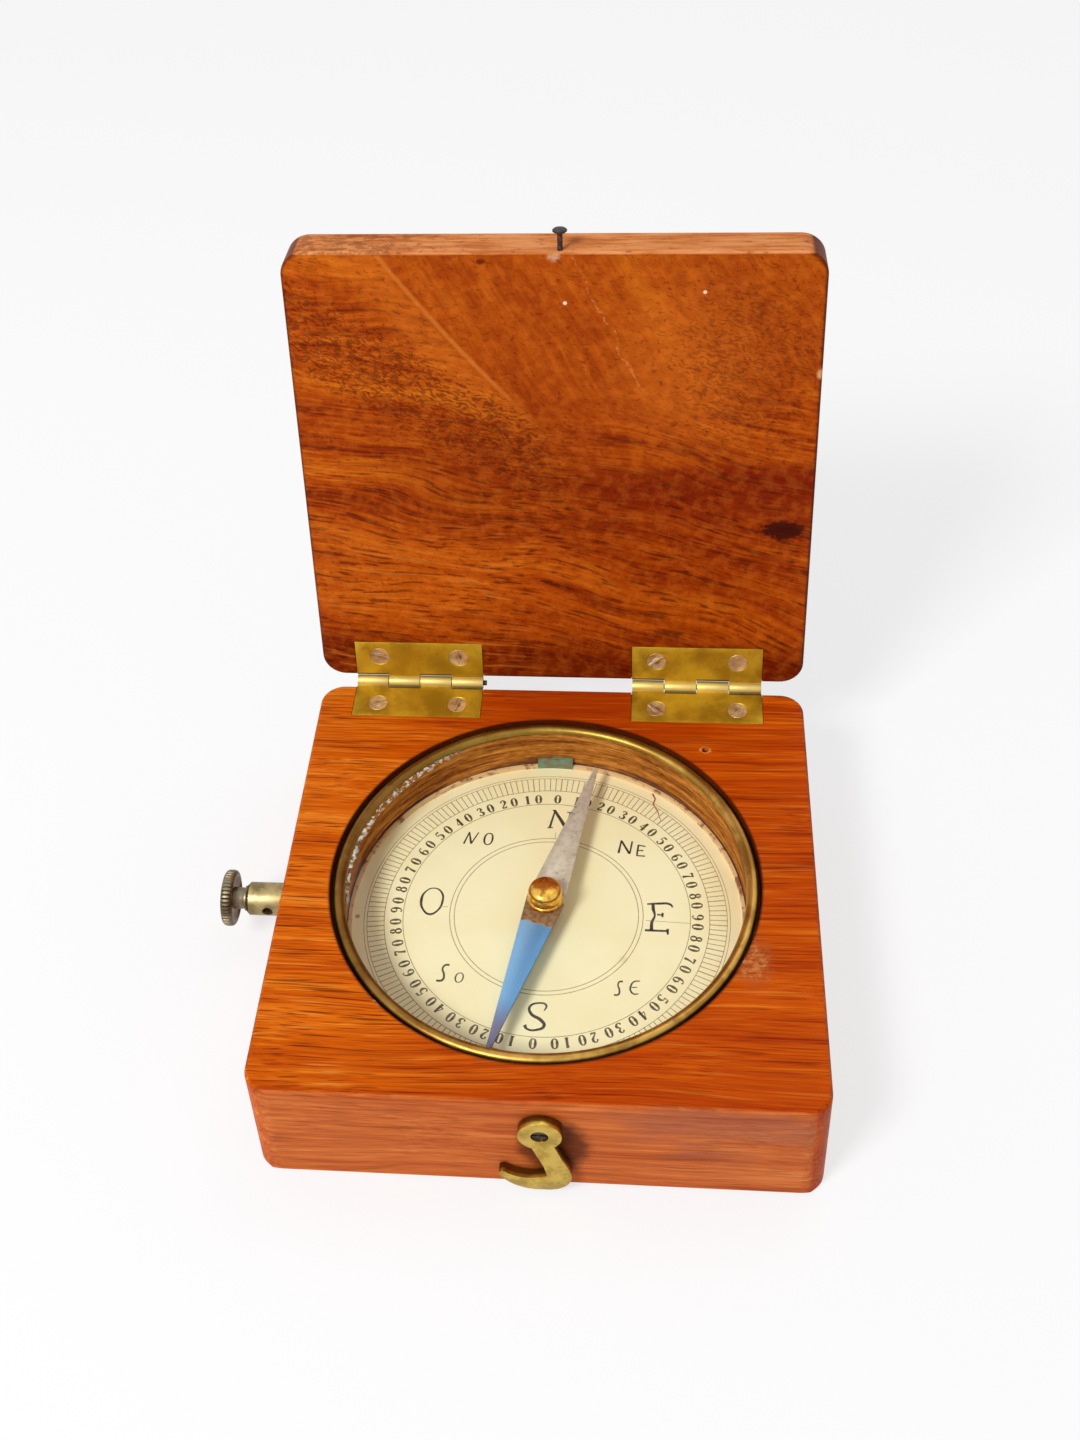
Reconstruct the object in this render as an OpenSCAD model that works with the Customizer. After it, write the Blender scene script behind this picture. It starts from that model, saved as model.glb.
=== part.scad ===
// Pocket marine compass in a hinged wooden case, with a needle lock worked from its west side.
// Lengths are in millimetres. The origin is on the case's underside, under the needle's pivot, +Z is up,
// +X is east on the card and +Y is north, towards the hinges.
// The lid stands open, the hook hangs down and the needle swings free.

/* [Case] */
// Width of the case, west to east
case_w = 95; // [88:1:120]
// Depth of the case, front to hinges
case_d = 92.5; // [90:0.5:120]
// Height of the case without its lid
case_h = 23.5; // [20:0.5:32]
// How far the middle of the window lies west of the middle of the case
window_x = 0.6; // [0:0.1:1.5]
// How far the middle of the window lies south of the middle of the case
window_y = 0.7; // [0:0.1:1.5]
// Radius of the upright corners of case and lid
corner_r = 4.5; // [2:0.5:8]
// Radius of the eased edges
edge_r = 0.7; // [0.3:0.1:0.9]
// Wood left under the turned well
floor_t = 5.75; // [3:0.25:7]
// Radius of the old pin hole beside the bezel
old_hole_r = 0.65; // [0.4:0.05:1]
// Depth of the old pin hole
old_hole_depth = 3; // [1:0.5:6]
// Place of the old pin hole, east of the middle
old_hole_x = 29; // [27:0.1:30]
// Place of the old pin hole, north of the middle
old_hole_y = 31.6; // [31:0.1:34]

/* [Lid] */
// Thickness of the lid
lid_t = 8.5; // [5:0.5:12]
// Angle from closed at which the lid stands open
lid_open = 96.5; // [0:0.5:180]
// Gap between the case and the closed lid
lid_gap = 0.2; // [0.1:0.05:0.6]

/* [Hinges] */
// Length of each butt hinge
hinge_len = 25.4; // [20:0.2:30]
// Distance between the middles of the two hinges
hinge_centres = 55; // [46:1:60]
// Width of a leaf, in from the back edge of the wood
leaf_reach = 8.2; // [6.8:0.1:9]
// Thickness of a leaf
leaf_t = 1; // [0.6:0.1:1.4]
// Radius of the knuckles
knuckle_r = 1.2; // [1:0.05:2.2]
// Number of knuckles in a hinge
knuckle_count = 4; // [2:1:6]
// Gap between neighbouring knuckles, and between knuckles and wood
knuckle_gap = 0.15; // [0.1:0.05:0.4]
// Radius of a hinge pin
hinge_pin_r = 0.5; // [0.4:0.05:0.9]
// How far the left hinge's pin has crept out of its knuckles
pin_creep = 0.8; // [0.2:0.1:2]
// Distance between the two screws of a leaf
leaf_screw_span = 15.8; // [12:0.2:18]
// Distance from the back edge of the wood to the screws
leaf_screw_inset = 4.7; // [3.6:0.1:5]
// Diameter of a leaf screw's head
leaf_screw_head_d = 4; // [3:0.1:4.4]
// Diameter of a leaf screw's shank
leaf_screw_d = 1.8; // [1.2:0.1:2.2]
// Length of a leaf screw
leaf_screw_len = 6; // [4:0.5:7]

/* [Catch] */
// Place of the hook's screw, east of the middle
hook_x = 1.6; // [-3:0.1:3]
// Height of the hook's screw above the underside
hook_z = 17.1; // [15:0.1:19]
// Radius of the hook's ring
hook_ring_r = 3.6; // [2.6:0.1:4]
// Reach of the hook, from its screw to the bottom of its bend
hook_reach = 15.6; // [12:0.1:17]
// Thickness of the hook
hook_t = 1.7; // [1.4:0.1:2.4]
// Radius of the hollow that takes the screw's head
hook_hollow_r = 1.45; // [1.3:0.05:1.8]
// Radius of the screw's shank
hook_screw_r = 0.85; // [0.6:0.05:0.95]
// Length of the screw in the wood
hook_screw_len = 7; // [4:0.5:8]
// Thickness of the washer behind the hook
hook_washer_t = 0.3; // [0.2:0.05:0.6]
// Place of the nail on the lid's front edge, east of the middle
nail_x = 2.3; // [1.1:0.1:3]
// Distance of the nail from the lid's inner face
nail_inset = 1; // [0.8:0.1:3]
// Radius of the nail
nail_r = 0.45; // [0.3:0.05:0.6]
// Radius of the nail's head
nail_head_r = 1.3; // [0.9:0.05:1.6]
// Thickness of the nail's head
nail_head_t = 0.6; // [0.3:0.05:0.9]
// How far the nail stands out of the wood
nail_out = 4; // [3.2:0.1:5]
// Length of the nail in the wood
nail_in = 9; // [5:0.5:12]

/* [Window and card] */
// Radius of the turned well above the card
well_r = 36.3; // [35:0.1:37]
// Width of the ledge that carries the dial plate
ledge_w = 3.3; // [2:0.1:4]
// Outer radius of the brass bezel
bezel_r = 38; // [37.6:0.1:38.9]
// Width of the bezel's half-round section
bezel_w = 2.2; // [1.8:0.1:3]
// Height of the bezel's half-round section
bezel_h = 1; // [0.8:0.05:1.2]
// How far the bezel's crown lies below the top of the case
bezel_sink = 0.1; // [0:0.05:0.3]
// Gap round the bezel
bezel_gap = 0.5; // [0.2:0.05:0.6]
// Thickness of the glass
glass_t = 1; // [0.8:0.05:1.3]
// Depth of the card below the top of the case
card_depth = 10.75; // [9:0.05:11]
// Thickness of the paper card
card_t = 0.25; // [0.15:0.05:0.4]
// Thickness of the plate under the card
plate_t = 0.5; // [0.3:0.05:0.8]
// Gap between the well's wall and what is laid in it
lay_gap = 0.2; // [0.1:0.05:0.4]
// Width of the split ring that holds the card down
ring_w = 0.6; // [0.4:0.05:1]
// Height of the split ring
ring_h = 0.8; // [0.4:0.05:1.4]
// Width of the tab at the north of the card
tab_w = 6.8; // [4:0.2:10]
// Height of the tab
tab_h = 2.5; // [1.5:0.1:2.7]

/* [Needle] */
// Length of the needle, tip to tip
needle_len = 66; // [56:0.5:70]
// Width of the needle at its middle
needle_w = 7; // [5.4:0.1:9]
// Width of the needle's blunt tips
needle_tip_w = 0.7; // [0.3:0.1:1.5]
// Thickness of the needle
needle_t = 0.5; // [0.3:0.05:0.8]
// Direction of the needle's steel half, in degrees east of north
needle_heading = 14.2; // [0:0.1:359]
// Diameter of the cap at its foot
cap_d = 6.6; // [5.6:0.1:7.4]
// Height of the cap above the needle
cap_h = 3.8; // [3.4:0.1:4.2]
// Height of the cap's foot
cap_foot_h = 1; // [0.7:0.05:1.2]
// Radius of the spigot that is riveted through the needle
spigot_r = 2.1; // [1.8:0.05:2.4]
// Radius of the stone in the cap
jewel_r = 1.2; // [1:0.05:1.4]
// Height of the stone
jewel_h = 1.3; // [1.1:0.05:1.4]
// Radius of the pivot point's wire
pivot_r = 0.5; // [0.35:0.05:0.7]
// Radius of the brass post under the pivot point
post_r = 1; // [0.9:0.05:1.2]

/* [Needle lock] */
// How far the lock lifts the needle
lift = 0.7; // [0.4:0.05:0.8]
// Throw of the eccentric pin on the shaft
throw = 0.45; // [0.42:0.01:0.6]
// Radius of the eccentric pin
throw_pin_r = 0.35; // [0.25:0.05:0.4]
// Radius of the lock's shaft
shaft_r = 0.8; // [0.75:0.05:0.9]
// Distance of the shaft's axis north of the post
shaft_y = 3.2; // [3.1:0.05:3.4]
// Wall of the lifting collar's tube
collar_wall = 0.5; // [0.35:0.05:0.6]
// Radius of the lifting collar's flanges
flange_r = 3.3; // [3.1:0.1:3.8]
// Thickness of the flanges
flange_t = 0.5; // [0.3:0.05:0.55]
// Diameter of the knurled knob
knob_d = 10.4; // [8:0.1:13]
// Thickness of the knob's rim
knob_t = 2.2; // [1.5:0.1:4]
// Number of teeth in the knurl
knurl_count = 44; // [24:1:60]
// Depth of the knurl
knurl_depth = 0.25; // [0.1:0.05:0.4]
// Diameter of the knob's neck
neck_d = 4; // [3:0.1:5]
// Length of the knob's neck
neck_len = 1.7; // [0.8:0.1:3]
// Diameter of the barrel outside the case
barrel_d = 6.1; // [5:0.1:7]
// Length of the barrel outside the case
barrel_len = 9.3; // [8:0.1:14]
// Diameter of the barrel's screwed part in the wood
barrel_root_d = 4.4; // [3.4:0.1:4.8]
// Wood left between the barrel's screwed part and the well
barrel_wall = 2.2; // [1:0.1:4]
// Diameter of the cross hole for a turning pin
cross_hole_d = 2; // [1.2:0.1:2.4]
// Distance of the cross hole from the case
cross_hole_x = 5.1; // [3:0.1:6.5]
// Thickness of the bridge plate
bridge_t = 1; // [0.8:0.05:1.2]
// Radius of the bridge plate's round foot
bridge_r = 7; // [6.8:0.1:10]
// Distance of the bearing ear from the post
ear_x = 13; // [9:0.5:20]

/* [Hidden] */
$fn = 64;

// Clearances
fit = 0.03;         // round pieces pressed or screwed into one another
run = 0.04;         // shafts and pins that turn in a bore
slip = 0.05;        // flat faces that turn or slide past each other
inlay = 0.1;        // round a hinge leaf let into the wood
cut = 1;            // how far a cutting shape runs past the face that it opens

// Sides of the case
west_x = window_x - case_w / 2;
foot_corner = corner_r - 0.6 * edge_r;
front_y = window_y - case_d / 2;
back_y = window_y + case_d / 2;

// Hinge line
pin_y = back_y + knuckle_gap + knuckle_r;
pin_z = case_h + lid_gap / 2;
knuckle_pitch = hinge_len / knuckle_count;
leaf_screw_head_h = (leaf_screw_head_d - leaf_screw_d) / 2;

// Levels of the window, from the top down
bezel_z = case_h - bezel_sink - bezel_h;
glass_z = bezel_z - glass_t;
card_z = case_h - card_depth;
plate_z = card_z - card_t - plate_t;

// Radii of what is laid in the well
plate_r = well_r - lay_gap;
chamber_r = well_r - ledge_w;
rebate_r = bezel_r + bezel_gap;

// Levels of the needle: raised, its cap stops just under the glass
clamp_gap = 0.1;
cap_top = glass_z - clamp_gap - lift;
blade_top = cap_top - cap_h;
blade_z = blade_top - needle_t;
dome_r = cap_d / 2 - 0.2;
waist_r = dome_r - 0.25;
waist_h = 0.3;
spigot_wall = 0.8;
jewel_roof = 0.8;
jewel_z = cap_top - jewel_roof - jewel_h;
jewel_cup = 0.6;
point_z = jewel_z + jewel_cup - slip;
point_len = 2;
post_drop = 1.2;
post_top = blade_z - post_drop;
point_root = 2;

// Levels of the lock, from the plate down
rise_gap = 0.2;
shaft_z = plate_z - rise_gap - flange_t - slip - throw_pin_r - lift / 2;
throw_angle = asin(lift / 2 / throw);
throw_pin_z = shaft_z - lift / 2;
upper_flange_z = throw_pin_z + throw_pin_r + slip;
lower_flange_z = throw_pin_z - throw_pin_r - slip - flange_t;
collar_bore_r = post_r + run;
collar_r = collar_bore_r + collar_wall;
collar_rest_gap = 0.15;
collar_top = blade_z - collar_rest_gap;
card_hole_gap = 0.3;
collar_hole_r = collar_r + card_hole_gap;
pin_past = 1.2;

// Bridge on the floor, with the ear that carries the shaft's inner end
bridge_top = floor_t + bridge_t;
bridge_edge = 2;
bridge_screw_d = 1.1;
bridge_screw_head_d = 2.1;
bridge_screw_len = 3;
ear_w = 5;
ear_t = 1.2;
ear_gap = 0.15;
shaft_collar_w = 1;
shaft_collar_wall = 0.4;

// Lock, from the wall outwards
barrel_root_len = -west_x - well_r - barrel_wall;
barrel_end = west_x - barrel_len;
barrel_chamfer = 0.6;
lock_washer_t = 0.3;
neck_x = barrel_end - lock_washer_t - 2 * slip;
rim_x = neck_x - neck_len;
knob_x = rim_x - knob_t;
knob_bevel = 0.4;
knob_rim = 1;
dish_depth = 0.5;
socket_floor = 1.2;
socket_len = knob_t + neck_len - socket_floor;

// Hook, drawn about its screw, hanging with its mouth to the west, then brought to its reach
hook_y = front_y - hook_washer_t - slip;
hollow_depth = 0.95;
hook_head_t = 0.6;
hook_head_gap = 0.15;
washer_lip = 0.5;
bend_at = [0.9, -10.95];
bend_r = 3.85;
arm_at = [-0.7, -8.35];
arm_r = 6.5;
mouth_at = [-2, -6.2];
mouth_r = 5.5;
tip_at = [-6.05, -10.75];
tip_r = 0.7;
hook_scale = hook_reach / (norm(arm_at) + arm_r);

// The outline of a board seen from its end, with its long edges eased at these heights
module eased_section(w, h, eased) {
    low = min(eased) > edge_r ? 0 : edge_r;
    translate([-w / 2 + edge_r, 0]) square([w - 2 * edge_r, h]);
    translate([-w / 2, low]) square([w, h - edge_r - low]);
    for (x = [-1, 1], z = eased)
        translate([x * (w / 2 - edge_r), z]) circle(edge_r);
}

// One eased corner post of a board, as a turned solid
module eased_corner(h, eased) {
    low = min(eased) > edge_r ? 0 : edge_r;
    rotate_extrude() {
        square([corner_r - edge_r, h]);
        translate([0, low]) square([corner_r, h - edge_r - low]);
        for (z = eased)
            translate([corner_r - edge_r, z]) circle(edge_r);
    }
}

// A board with rounded upright corners, standing on z = 0, with its edges eased at these heights
module eased_board(w, d, h, eased) {
    rotate([90, 0, 90])
        linear_extrude(height = w - 2 * corner_r, center = true) eased_section(d, h, eased);
    rotate([90, 0, 0])
        linear_extrude(height = d - 2 * corner_r, center = true) eased_section(w, h, eased);
    for (x = [-1, 1], y = [-1, 1])
        translate([x * (w / 2 - corner_r), y * (d / 2 - corner_r), 0]) eased_corner(h, eased);
}

// What a plane takes off one side of the case's foot, at this distance from its middle
module foot_shaving(turn, away) {
    rotate([0, 0, turn]) translate([away, 0, 0]) rotate([0, 45, 0])
        translate([0, -case_w, -case_w / 2]) cube([case_w, 2 * case_w, case_w]);
}

// The block of the case: rounded at the top, planed off at the foot and its corners
module case_block() {
    post_x = case_w / 2 - corner_r;
    post_y = case_d / 2 - corner_r;
    difference() {
        eased_board(case_w, case_d, case_h, [case_h - edge_r]);
        for (side = [0, 1]) {
            foot_shaving(180 * side, case_w / 2 - edge_r);
            foot_shaving(90 + 180 * side, case_d / 2 - edge_r);
        }
        for (turn = [45 : 90 : 315])
            foot_shaving(turn, (post_x + post_y) / sqrt(2) + foot_corner);
    }
}

// A solid rod along +X from x
module rod_x(x, len, r) {
    translate([x, 0, 0]) rotate([0, 90, 0]) cylinder(r = r, h = len);
}

// What belongs to the lid is drawn as its twin on the case, then turned over and opened
module lid_side() {
    translate([0, pin_y, pin_z]) rotate([-lid_open, 0, 0]) mirror([0, 0, 1])
        translate([0, -pin_y, -pin_z]) children();
}

module on_lock_axis() {
    translate([0, shaft_y, shaft_z]) children();
}

// Hinges

module at_leaf_screws() {
    for (side = [-1, 1], end = [-1, 1])
        translate([side * hinge_centres / 2 + end * leaf_screw_span / 2,
                   back_y - leaf_screw_inset, case_h])
            children();
}

// A countersunk screw with its head's face at z = 0, grown all round by the clearance
module countersunk_screw(head_d, shank_d, len, clear) {
    head_h = (head_d - shank_d) / 2;
    translate([0, 0, -head_h])
        cylinder(r1 = shank_d / 2 + clear, r2 = head_d / 2 + clear, h = head_h);
    translate([0, 0, -len - clear]) cylinder(r = shank_d / 2 + clear, h = len - head_h + clear);
}

module slotted_screw(head_d, shank_d, len, slot_w, slot_depth) {
    difference() {
        countersunk_screw(head_d, shank_d, len, 0);
        translate([-head_d, -slot_w / 2, -slot_depth]) cube([2 * head_d, slot_w, cut]);
    }
}

module leaf_screws() {
    slot_turns = [20, 75, 140, 50];
    for (side = [0, 1], end = [0, 1])
        translate([(side - 0.5) * hinge_centres + (end - 0.5) * leaf_screw_span,
                   back_y - leaf_screw_inset, case_h])
            rotate([0, 0, slot_turns[2 * side + end]])
                slotted_screw(leaf_screw_head_d, leaf_screw_d, leaf_screw_len, 0.5, 0.45);
}

// A leaf with every second knuckle, counted from the west end
module hinge_leaf(side, first) {
    west = side * hinge_centres / 2 - hinge_len / 2;
    difference() {
        union() {
            translate([west, back_y - leaf_reach, case_h - leaf_t])
                cube([hinge_len, leaf_reach - knuckle_gap, leaf_t]);
            for (i = [first : 2 : knuckle_count - 1])
                translate([west + i * knuckle_pitch + knuckle_gap / 2, 0, 0]) {
                    translate([0, back_y - 2 * knuckle_gap, case_h - leaf_t])
                        cube([knuckle_pitch - knuckle_gap, knuckle_r + 3 * knuckle_gap, leaf_t]);
                    translate([0, pin_y, pin_z])
                        rod_x(0, knuckle_pitch - knuckle_gap, knuckle_r);
                }
        }
        translate([0, pin_y, pin_z]) rod_x(west - cut, hinge_len + 2 * cut, hinge_pin_r + run);
        at_leaf_screws() countersunk_screw(leaf_screw_head_d, leaf_screw_d, leaf_screw_len, fit);
    }
}

// The pockets that the two leaves are let into
module leaf_pockets() {
    for (side = [-1, 1])
        translate([side * hinge_centres / 2 - hinge_len / 2 - inlay,
                   back_y - leaf_reach - inlay, case_h - leaf_t])
            cube([hinge_len + 2 * inlay, leaf_reach + inlay + cut, leaf_t + cut]);
}

module hinge_pin(side, creep) {
    translate([side * hinge_centres / 2 - hinge_len / 2, pin_y, pin_z])
        rod_x(knuckle_gap, hinge_len - 2 * knuckle_gap + creep, hinge_pin_r);
}

// Case and lid

module wood_case() {
    color("sienna") difference() {
        translate([window_x, window_y, 0]) case_block();
        translate([0, 0, glass_z]) cylinder(r = rebate_r, h = case_h, $fn = 180);
        translate([0, 0, plate_z]) cylinder(r = well_r, h = case_h, $fn = 180);
        translate([0, 0, floor_t]) cylinder(r = chamber_r, h = case_h, $fn = 180);
        leaf_pockets();
        at_leaf_screws() countersunk_screw(leaf_screw_head_d, leaf_screw_d, leaf_screw_len, fit);
        on_lock_axis() rod_x(west_x - cut, barrel_root_len + cut + fit, barrel_root_d / 2 + fit);
        on_lock_axis() rod_x(west_x, -west_x, shaft_r + run);
        at_bridge_screws() cylinder(r = bridge_screw_d / 2 + fit, h = bridge_screw_len * 2, center = true);
        translate([hook_x, front_y - cut, hook_z]) rotate([-90, 0, 0])
            cylinder(r = hook_screw_r + fit, h = hook_screw_len + cut + fit);
        translate([old_hole_x, old_hole_y, case_h - old_hole_depth])
            cylinder(r = old_hole_r, h = old_hole_depth + cut);
    }
}

module wood_lid() {
    color("chocolate") lid_side() difference() {
        translate([window_x, window_y, case_h - lid_t])
            eased_board(case_w, case_d, lid_t, [edge_r, lid_t - edge_r]);
        leaf_pockets();
        at_leaf_screws() countersunk_screw(leaf_screw_head_d, leaf_screw_d, leaf_screw_len, fit);
        translate([nail_x, front_y - cut, case_h - nail_inset]) rotate([-90, 0, 0])
            cylinder(r = nail_r + fit, h = nail_in + cut + fit);
    }
}

module case_leaf_left() {
    color("darkgoldenrod") hinge_leaf(-1, 0);
}

module case_leaf_right() {
    color("darkgoldenrod") hinge_leaf(1, 0);
}

module lid_leaf_left() {
    color("goldenrod") lid_side() hinge_leaf(-1, 1);
}

module lid_leaf_right() {
    color("goldenrod") lid_side() hinge_leaf(1, 1);
}

module hinge_pin_left() {
    color("dimgray") hinge_pin(-1, pin_creep);
}

module hinge_pin_right() {
    color("dimgray") hinge_pin(1, 0);
}

module case_hinge_screws() {
    color("khaki") leaf_screws();
}

module lid_hinge_screws() {
    color("khaki") lid_side() leaf_screws();
}

// Catch

// The hook as cast: a shank that leans east, and an arm that curls back west
module hook_arm() {
    polygon([[-1.4, -2.9], [0.42, -8.3], [0.9, -10.95], [4.75, -10.95],
             [4.4, -9], [3.2, -5.8], [2.2, -2.6]]);
    difference() {
        union() {
            translate(bend_at) circle(bend_r);
            intersection() {
                translate(arm_at) circle(arm_r);
                polygon([[0.9, -10.95], [0.9, -16], [-7.4, -16], [-6.35, -11.38], [-5.8, -9]]);
            }
        }
        translate(mouth_at) circle(mouth_r);
    }
    translate(tip_at) circle(tip_r);
}

module hook_outline() {
    difference() {
        union() {
            circle(hook_ring_r);
            scale(hook_scale) hook_arm();
        }
        circle(hook_screw_r + run);
    }
}

module catch_hook() {
    color("goldenrod") translate([hook_x, hook_y, hook_z]) rotate([90, 0, 0])
        difference() {
            linear_extrude(height = hook_t) hook_outline();
            translate([0, 0, hook_t - hollow_depth]) cylinder(r = hook_hollow_r, h = hook_t);
        }
}

module hook_screw() {
    head_r = hook_hollow_r - hook_head_gap;
    head_base = hook_t - hollow_depth + slip;
    color("dimgray") translate([hook_x, hook_y, hook_z]) rotate([90, 0, 0])
        difference() {
            union() {
                translate([0, 0, head_base]) cylinder(r = head_r, h = hook_head_t);
                translate([0, 0, hook_y - front_y - hook_screw_len])
                    cylinder(r = hook_screw_r, h = head_base + hook_screw_len + hook_washer_t + slip);
            }
            translate([-head_r, -0.2, head_base + hook_head_t - 0.3]) cube([2 * head_r, 0.4, cut]);
        }
}

module hook_washer() {
    color("darkgoldenrod") translate([hook_x, front_y, hook_z]) rotate([90, 0, 0])
        difference() {
            cylinder(r = hook_ring_r - washer_lip, h = hook_washer_t);
            translate([0, 0, -cut]) cylinder(r = hook_screw_r + fit, h = 3 * cut);
        }
}

module catch_nail() {
    color("dimgray") lid_side()
        translate([nail_x, front_y + nail_in, case_h - nail_inset]) rotate([90, 0, 0]) {
            cylinder(r = nail_r, h = nail_in + nail_out - nail_head_t / 2);
            translate([0, 0, nail_in + nail_out - nail_head_t]) cylinder(r = nail_head_r, h = nail_head_t);
        }
}

// Window and card

module dial_plate() {
    color("gainsboro") translate([0, 0, plate_z]) difference() {
        cylinder(r = plate_r, h = plate_t, $fn = 180);
        translate([0, 0, -cut]) cylinder(r = collar_hole_r, h = plate_t + 2 * cut);
    }
}

module dial_card() {
    color("cornsilk") translate([0, 0, plate_z + plate_t]) difference() {
        cylinder(r = plate_r, h = card_t, $fn = 180);
        translate([0, 0, -cut]) cylinder(r = collar_hole_r, h = card_t + 2 * cut);
    }
}

module card_ring() {
    color("tan") translate([0, 0, card_z]) difference() {
        cylinder(r = plate_r, h = ring_h, $fn = 180);
        translate([0, 0, -cut]) cylinder(r = plate_r - ring_w, h = ring_h + 2 * cut, $fn = 180);
        translate([-tab_w / 2 - inlay, 0, -cut]) cube([tab_w + 2 * inlay, well_r, ring_h + 2 * cut]);
    }
}

module north_tab() {
    color("darkseagreen") translate([0, 0, card_z]) intersection() {
        difference() {
            cylinder(r = plate_r, h = tab_h, $fn = 180);
            translate([0, 0, -cut]) cylinder(r = plate_r - ring_w, h = tab_h + 2 * cut, $fn = 180);
        }
        translate([-tab_w / 2, 0, -cut]) cube([tab_w, well_r, tab_h + 2 * cut]);
    }
}

module cover_glass() {
    color("lightcyan", 0.3) translate([0, 0, glass_z]) cylinder(r = bezel_r, h = glass_t, $fn = 180);
}

module bezel_ring() {
    half_w = bezel_w / 2;
    round_r = (half_w * half_w + bezel_h * bezel_h) / (2 * bezel_h);
    color("gold") rotate_extrude($fn = 180) intersection() {
        translate([bezel_r - half_w, bezel_z + bezel_h - round_r]) circle(round_r);
        translate([bezel_r - bezel_w, bezel_z]) square([bezel_w, bezel_h]);
    }
}

// Pivot

module at_bridge_screws() {
    for (a = [30, 150, 270])
        rotate([0, 0, a]) translate([bridge_r - bridge_edge, 0, bridge_top]) children();
}

module pivot_bridge() {
    color("peru") difference() {
        union() {
            translate([0, 0, floor_t]) cylinder(r = bridge_r, h = bridge_t);
            translate([-ear_x - ear_t, shaft_y - ear_w / 2, floor_t]) {
                cube([ear_x + ear_t, ear_w, bridge_t]);
                cube([ear_t, ear_w, plate_z - ear_gap - floor_t]);
            }
        }
        translate([0, 0, floor_t - cut]) cylinder(r = post_r + fit, h = bridge_t + 2 * cut);
        on_lock_axis() rod_x(-ear_x - ear_t - cut, ear_t + 2 * cut, shaft_r + run);
        at_bridge_screws() countersunk_screw(bridge_screw_head_d, bridge_screw_d, bridge_screw_len, fit);
    }
}

module bridge_screws() {
    color("khaki") at_bridge_screws()
        slotted_screw(bridge_screw_head_d, bridge_screw_d, bridge_screw_len, 0.3, 0.25);
}

module pivot_post() {
    color("gold") difference() {
        translate([0, 0, floor_t]) cylinder(r = post_r, h = post_top - floor_t);
        translate([0, 0, post_top - point_root]) cylinder(r = pivot_r + fit, h = point_root + cut);
    }
}

module pivot_point() {
    shank_top = point_z - point_len;
    color("silver") {
        translate([0, 0, post_top - point_root + fit])
            cylinder(r = pivot_r, h = shank_top - post_top + point_root - fit);
        translate([0, 0, shank_top]) cylinder(r1 = pivot_r, r2 = 0.03, h = point_len);
    }
}

// Needle

module needle_blade() {
    color("slategray") rotate([0, 0, -needle_heading]) translate([0, 0, blade_z])
        linear_extrude(height = needle_t) difference() {
            polygon([[-needle_w / 2, 0], [-needle_tip_w / 2, -needle_len / 2],
                     [needle_tip_w / 2, -needle_len / 2], [needle_w / 2, 0],
                     [needle_tip_w / 2, needle_len / 2], [-needle_tip_w / 2, needle_len / 2]]);
            circle(spigot_r + fit);
        }
}

// Turned in one piece: a foot, a waist, a dome, and the spigot that goes through the needle
module needle_cap() {
    dome_z = blade_top + cap_foot_h + waist_h;
    dome_h = cap_top - dome_z;
    dome_round = (dome_r * dome_r + dome_h * dome_h) / (2 * dome_h);
    color("gold") rotate_extrude() difference() {
        union() {
            translate([0, blade_z]) square([spigot_r, needle_t]);
            translate([0, blade_top]) square([cap_d / 2 - cap_foot_h / 2, cap_foot_h]);
            intersection() {
                translate([cap_d / 2 - cap_foot_h / 2, blade_top + cap_foot_h / 2]) circle(cap_foot_h / 2);
                translate([0, blade_top]) square([cap_d, cap_foot_h]);
            }
            translate([0, blade_top]) square([waist_r, dome_z - blade_top + slip]);
            intersection() {
                translate([0, cap_top - dome_round]) circle(dome_round);
                translate([0, dome_z]) square([dome_r, dome_h]);
            }
        }
        translate([0, blade_z - cut]) square([spigot_r - spigot_wall, jewel_z - blade_z + cut]);
        translate([0, jewel_z - slip]) square([jewel_r + fit, jewel_h + slip + fit]);
    }
}

module cap_jewel() {
    color("firebrick") translate([0, 0, jewel_z]) difference() {
        cylinder(r = jewel_r, h = jewel_h);
        translate([0, 0, -cut]) cylinder(r1 = jewel_cup + cut, r2 = 0, h = jewel_cup + cut);
    }
}

// Needle lock

// A tube on the post with two flanges, and the eccentric pin between them
module lifting_collar() {
    color("orange") difference() {
        union() {
            translate([0, 0, lower_flange_z]) cylinder(r = collar_r, h = collar_top - lower_flange_z);
            for (z = [lower_flange_z, upper_flange_z])
                translate([0, 0, z]) cylinder(r = flange_r, h = flange_t);
        }
        translate([0, 0, lower_flange_z - cut]) cylinder(r = collar_bore_r, h = collar_top);
    }
}

module lock_barrel() {
    color("rosybrown") on_lock_axis() difference() {
        union() {
            rod_x(barrel_end + barrel_chamfer, barrel_len - barrel_chamfer, barrel_d / 2);
            translate([barrel_end, 0, 0]) rotate([0, 90, 0])
                cylinder(r1 = barrel_d / 2 - barrel_chamfer, r2 = barrel_d / 2, h = barrel_chamfer);
            rod_x(west_x, barrel_root_len, barrel_root_d / 2);
        }
        rod_x(barrel_end - cut, barrel_len + barrel_root_len + 2 * cut, shaft_r + run);
        translate([west_x - cross_hole_x, 0, 0]) rotate([90, 0, 0])
            cylinder(r = cross_hole_d / 2, h = 2 * barrel_d, center = true);
    }
}

module lock_washer() {
    color("dimgray") on_lock_axis() difference() {
        rod_x(barrel_end - slip - lock_washer_t, lock_washer_t, neck_d / 2 + 0.3);
        rod_x(barrel_end - 2 * cut, 3 * cut, shaft_r + run);
    }
}

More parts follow.
